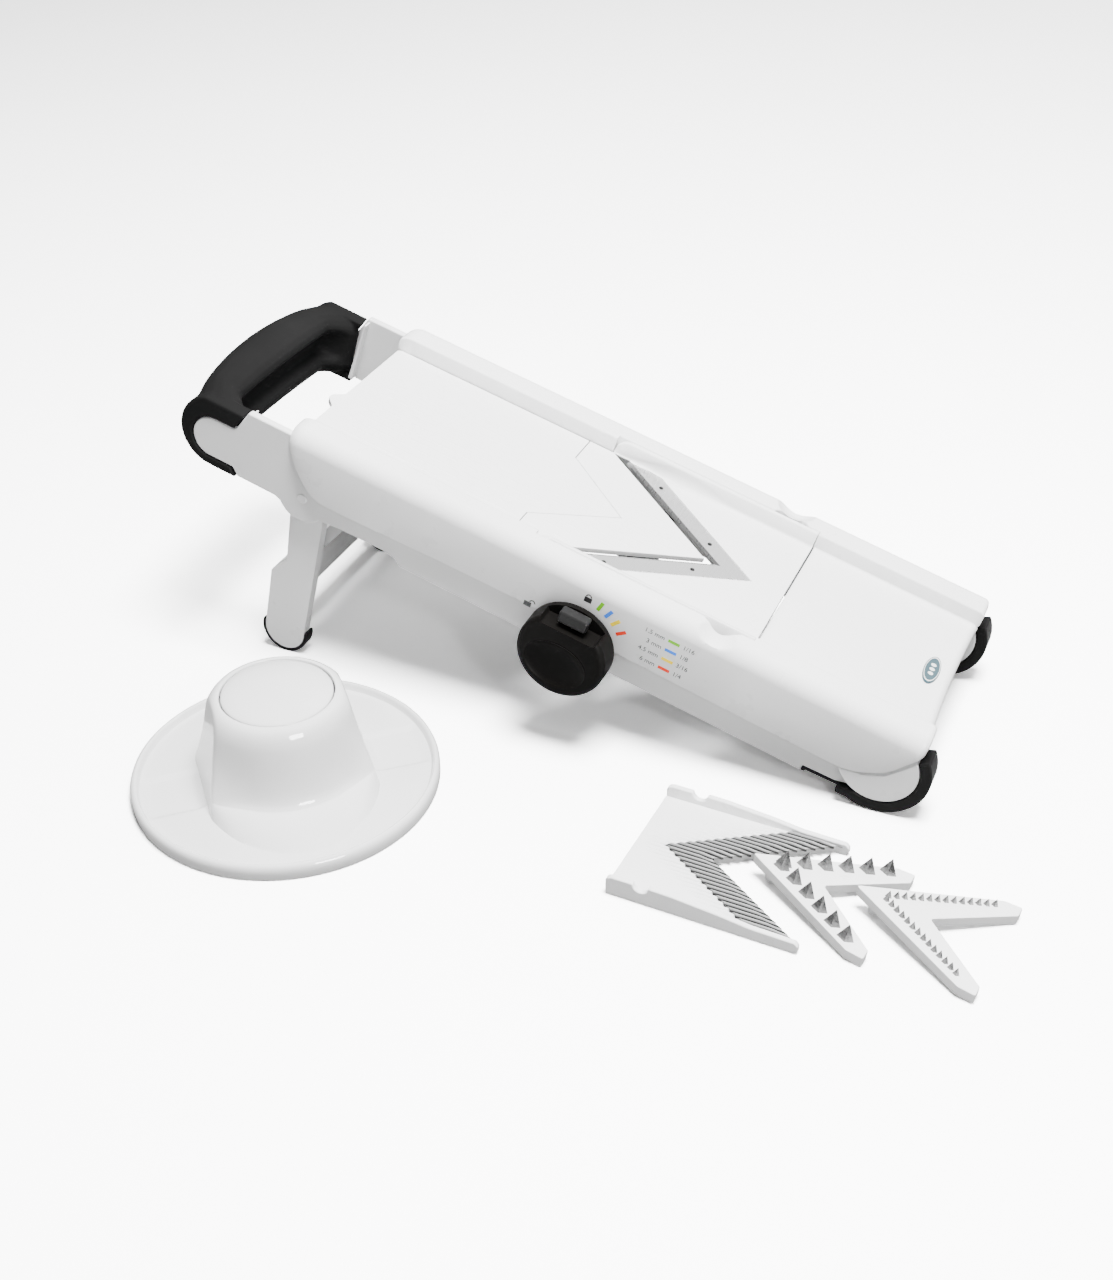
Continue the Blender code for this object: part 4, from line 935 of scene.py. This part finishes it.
def laid(origin, turn, pitch=0.0):
    """Frame of a loose insert: its tip, its turn on the floor and its pitch, in degrees."""
    turned_flat = Matrix.Rotation(radians(turn), 4, "Z")
    return Matrix.Translation(origin) @ turned_flat @ Matrix.Rotation(radians(pitch), 4, "Y")


WAVY = laid((0.0519, -0.0511, 0.0), -2.5)
WAVY_HALF, WAVY_LENGTH, WAVY_TIP, WAVY_SLOPE = 0.0355, 0.087, 0.033, 1.5
WAVES = 14                      # ridges on each arm of the wavy blade
WAVY_BLADE_HALF = WAVY_HALF - 0.0031
WAVE_PITCH = WAVY_BLADE_HALF / WAVES


def blade_front(v):
    """Place along the wavy insert where its blade starts."""
    return WAVY_TIP - 0.02 + WAVY_SLOPE * abs(v)


def wavy_frame():
    """Wavy insert's white frame: floor with moulded ripples, tapered flanges with a thumb notch."""
    inner = WAVY_HALF - 0.0025
    reach = WAVY_TIP + WAVY_SLOPE * inner
    outline = [(0.0, inner), (0.0, -inner), (reach, -inner), (WAVY_TIP, 0.0), (reach, inner)]
    plate = flat_plate("wavy_floor", outline, 0.0008, 0.004, "wavy_insert", WHITE, place=WAVY,
                       stands_for=("wavy_insert_frame",))
    round_edges(plate, 0.0005, 3)
    end = WAVY_LENGTH + 0.001
    flange = [(0.0, 0.0006), (0.001, 0.0), (0.06, 0.0), (end - 0.002, 0.0), (end, 0.0014), (end, 0.0042)]
    flange += [(end - 0.0016, 0.0058), (0.066, 0.0062), (0.052, 0.008), (0.03, 0.0098), (0.0215, 0.01)]
    flange += arc(0.0165, 0.01, 0.0036, 0.0, -180.0, 10)
    flange += [(0.009, 0.01), (0.003, 0.01), (0.0008, 0.0092), (0.0, 0.0075)]
    for name, side in SIDES:
        piece = side_plate(f"wavy_flange_{name}", flange, inner - 0.0003, WAVY_HALF, side, "wavy_insert",
                           WHITE, place=WAVY)
        round_edges(piece, 0.0007, 3)
    for i in range(-WAVES, WAVES):
        v = WAVE_PITCH * (i + 0.5)
        ripple(f"ripple_{i + WAVES}", blade_front(v) - 0.018, blade_front(v) + 0.001, v)


def ripple(name, start, end, v):
    """A moulded ripple that leads the food onto the wavy blade."""
    base, shortest, half, height = 0.0039, 0.002, 0.001, 0.0009
    start = max(start, 0.002)
    if end - start < shortest:
        return
    turns = [radians(30.0 * j) for j in range(7)]
    rings = []
    for k in range(5):
        t = k / 4.0
        u, rise = start + (end - start) * t, height * smooth_step(t, 0.0, 0.8)
        rings.append([(u, v + half * cos(a), base + rise * sin(a)) for a in turns])
    skinned(name, rings, "wavy_insert", WHITE, closed=False, place=WAVY, sharp=0.0)


def wavy_blade():
    """Corrugated V blade: ridges run along the insert on both arms and end in a scalloped edge."""
    length, base, thick, amplitude = 0.0235, 0.004, 0.0003, 0.0016
    steps = WAVES * 8
    rings = []
    for i in range(-steps, steps + 1):
        v = WAVY_BLADE_HALF * i / steps
        wave = 0.5 - 0.5 * cos(2.0 * pi * v / WAVE_PITCH)
        top, under = [], []
        for k in range(7):
            u = blade_front(v) + length * k / 6.0
            u += 0.0012 * wave * (k == 0) - 0.0018 * wave * (k == 6)
            w = base + amplitude * wave * (1.0 if k < 5 else 0.55)
            top.append((u, v, w + thick))
            under.append((u, v, w))
        rings.append(top + under[::-1])
    skinned("wavy_steel", rings, "wavy_insert", corrugated_steel_painted_light(WAVE_PITCH), caps=True,
            stands_for=("wavy_blade",), slot="steel", place=WAVY, sharp=0.0)


OUTER_SLOPE, INNER_SLOPE, ARM, LENGTH, SHOULDER = 1.93, 1.3, 0.0335, 0.064, 0.056
TOOTH_IN, TOOTH_OUT, TOOTH_SLOPE = 0.015, 0.008, 1.78
COARSE_TIP, FINE_TIP = (0.1057, -0.0496, 0.0119), (0.1525, -0.0521, 0.0119)


def julienne(label, origin, count, height, base):
    """Spare V insert with upright triangular teeth along both arms."""
    body, place = f"{label}_insert", laid(origin, -7.5, 6.0)
    thick, first, margin = 0.005, 0.0012, 0.004
    shoulder = SHOULDER / OUTER_SLOPE
    inner = (LENGTH - ARM) / INNER_SLOPE
    half = [(0.0014, 0.001), (SHOULDER, shoulder), (LENGTH - 0.0006, shoulder + 0.0005), (LENGTH, shoulder)]
    half += [(LENGTH, inner + 0.0004), (ARM + 0.0006, 0.0006)]
    outline = [(0.0, 0.0)] + half + [(u, -v) for u, v in reversed(half)]
    plate = flat_plate(f"{label}_plate", outline, -thick, 0.0, body, WHITE, place=place,
                       stands_for=(f"{label}_insert_frame",))
    round_edges(plate, 0.0007, 3)
    peg = [(0.0, -0.01), (0.0024, -0.01), (0.003, -0.0094), (0.003, -0.0045), (0.0, -0.0045)]
    turned(f"{label}_peg", peg, body, WHITE, place @ Matrix.Translation((0.01, 0.0, 0.0)), 32)
    reach = (LENGTH - margin - TOOTH_IN) / TOOTH_SLOPE - 0.0018
    bm = bmesh.new()
    for side in (-1, 1):
        for i in range(count + 1):
            v = side * (first + (reach - first) * i / count)
            tooth(bm, 0.5 * (TOOTH_IN + TOOTH_OUT) + TOOTH_SLOPE * abs(v), v, base, height)
    add(f"{label}_tooth_row", bm, body, TOOTH_STEEL_PAINTED_SHADE, (f"{label}_teeth",), "steel", place=place, sharp=20.0)


def tooth(bm, u, v, base, height):
    """One upright tooth: a triangle folded along its middle."""
    fold, foot = 0.24 * base, -0.0003
    corners = ((u - 0.5 * base, v, foot), (u + 0.05 * base, v - fold, foot), (u + 0.5 * base, v, foot))
    low = [bm.verts.new(p) for p in corners]
    tip = bm.verts.new((u + 0.08 * base, v, height))
    bm.faces.new(low)
    for i in range(3):
        bm.faces.new((low[i], low[(i + 1) % 3], tip))


# ---------- CAD nodes that stay

def finish_node(name, finish, width):
    """Gives a CAD node its material and softened edges, without moving a vertex of its own mesh."""
    node = frame["nodes"][name]
    if not node.material_slots:
        node.data.materials.append(finish)
    for holder in node.material_slots:
        holder.material = finish
    weld = node.modifiers.new("weld", "WELD")
    weld.merge_threshold = 0.000005
    flat = node.modifiers.new("flat", "DECIMATE")
    flat.decimate_type = "DISSOLVE"
    flat.angle_limit = radians(0.6)
    edges = node.modifiers.new("edges", "BEVEL")
    edges.width = width
    edges.segments = 2
    edges.limit_method = "ANGLE"
    edges.angle_limit = radians(35.0)
    node.modifiers.new("normals", "WEIGHTED_NORMAL")


def kept_nodes():
    """Materials and edges of the pieces whose CAD shape is right."""
    white = ("leg_frame", "leg_pin_near", "leg_pin_far", "plunger_stem", "stem_guide", "prong_plate")
    # the parts inside the shell take the dark grey of painted shade seen through the slot and seams
    inner = ("belly_tray", "shaft_bush_near", "shaft_bush_far", "knob_shaft", "lift_cam_near",
             "lift_cam_far", "shaft_clip", "lock_collar", "insert_latch", "runway_carrier")
    steel = ("front_tie_rod", "rear_tie_rod", "stay_pin_near", "stay_pin_far", "stay_slide_rod",
             "plunger_spring")
    screws = tuple(f"shell_screw_{side}_{place}" for side, _ in SIDES for place in (1, 2, 3))
    groups = ((white, WHITE, 0.0006), (("stay_link_near", "stay_link_far"), STRUT, 0.0005),
              (inner, INNER_PAINTED_SHADE, 0.0003), (steel + screws, STEEL, 0.00015),
              (("leg_shoe_near", "leg_shoe_far"), TYRE, 0.0004))
    for names, finish, width in groups:
        for name in names:
            finish_node(name, finish, width)


# ---------- camera, light and floor

AZIMUTH, ELEVATION, ROLL = radians(23.78), radians(34.28), radians(-0.55)
CAMERA_PLACE = (0.18096, -0.68248, 0.51313)     # x and y from the deck's origin, and height
LENS = 48.50128


def camera():
    """Camera at the photograph's angle."""
    forward = Vector((-sin(AZIMUTH) * cos(ELEVATION), cos(AZIMUTH) * cos(ELEVATION), -sin(ELEVATION)))
    right = Vector((cos(AZIMUTH), sin(AZIMUTH), 0.0))
    up = right.cross(forward)
    across = right * cos(ROLL) + up * sin(ROLL)
    upright = up * cos(ROLL) - right * sin(ROLL)
    rotation = Matrix((across, upright, -forward)).transposed().to_4x4()
    made = bpy.data.objects.new("camera", bpy.data.cameras.new("camera"))
    bpy.context.collection.objects.link(made)
    place = Vector((DECK.translation.x, DECK.translation.y, 0.0)) + Vector(CAMERA_PLACE)
    made.matrix_world = Matrix.Translation(place) @ rotation
    made.data.lens = LENS
    made.data.sensor_width = 36.0
    made.data.clip_start = 0.01
    bpy.context.scene.camera = made


def floor():
    """Plain pale floor, darker in the light it throws back than in what the camera sees of it."""
    bm = bmesh.new()
    bmesh.ops.create_grid(bm, x_segments=2, y_segments=2, size=4.0)
    mesh = bpy.data.meshes.new("floor")
    bm.to_mesh(mesh)
    bm.free()
    made = bpy.data.objects.new("floor", mesh)
    bpy.context.collection.objects.link(made)
    made.location = (0.0, 0.0, -0.0002)
    pale, shader = shader_of("pale_floor", Roughness=0.9)
    tree = pale.node_tree
    path = tree.nodes.new("ShaderNodeLightPath")
    mix = tree.nodes.new("ShaderNodeMix")
    mix.data_type = "RGBA"
    factor, thrown, seen = mix.inputs[0], mix.inputs[6], mix.inputs[7]
    thrown.default_value = grey(0.22)
    tree.links.new(path.outputs["Is Camera Ray"], factor)
    tree.links.new(ramp(tree, noise(tree, 3.0), grey(1.9), grey(1.94)), seen)
    tree.links.new(mix.outputs[2], shader.inputs["Base Color"])
    mesh.materials.append(pale)


def lights():
    """Soft key from above, weak front and back lights, and a window that only gloss shows."""
    middle = (0.0, 0.0, 0.0)
    key = light("key", (0.28, -0.1, 1.5), middle, 0.55, 122.0)
    key.visible_glossy = False
    front = light("front", (0.95, -0.95, 0.95), middle, 0.15, 6.0)
    front.visible_glossy = False
    window = light("window", (1.3, -1.02, 0.66), (-0.05, 0.0, 0.04), 0.62, 70.0)
    window.visible_diffuse = False
    light("back", (0.25, 1.7, 1.35), middle, 1.8, 20.0)
    world = bpy.data.worlds.new("studio")
    bpy.context.scene.world = world
    world.use_nodes = True
    background = world.node_tree.nodes["Background"]
    background.inputs["Color"].default_value = (1.0, 1.0, 1.0, 1.0)
    background.inputs["Strength"].default_value = 0.26


def light(name, place, target, size, power):
    """A square soft light that faces its target."""
    lamp = bpy.data.lights.new(name, "AREA")
    lamp.shape = "SQUARE"
    lamp.size = size
    lamp.energy = power
    made = bpy.data.objects.new(name, lamp)
    bpy.context.collection.objects.link(made)
    made.location = place
    made.rotation_euler = (Vector(target) - Vector(place)).to_track_quat("-Z", "Y").to_euler()
    return made


# ---------- assembly

camera()
floor()
lights()
shell_rails()
landing()
badge()
cheeks()
foot_tyres()
handle()
runway()
insert_frame()
v_blade()
knob()
knob_button()
knob_marks()
food_holder()
plunger()
wavy_frame()
wavy_blade()
julienne("coarse", COARSE_TIP, 5, 0.009, 0.0082)
julienne("fine", FINE_TIP, 13, 0.0042, 0.0034)
kept_nodes()
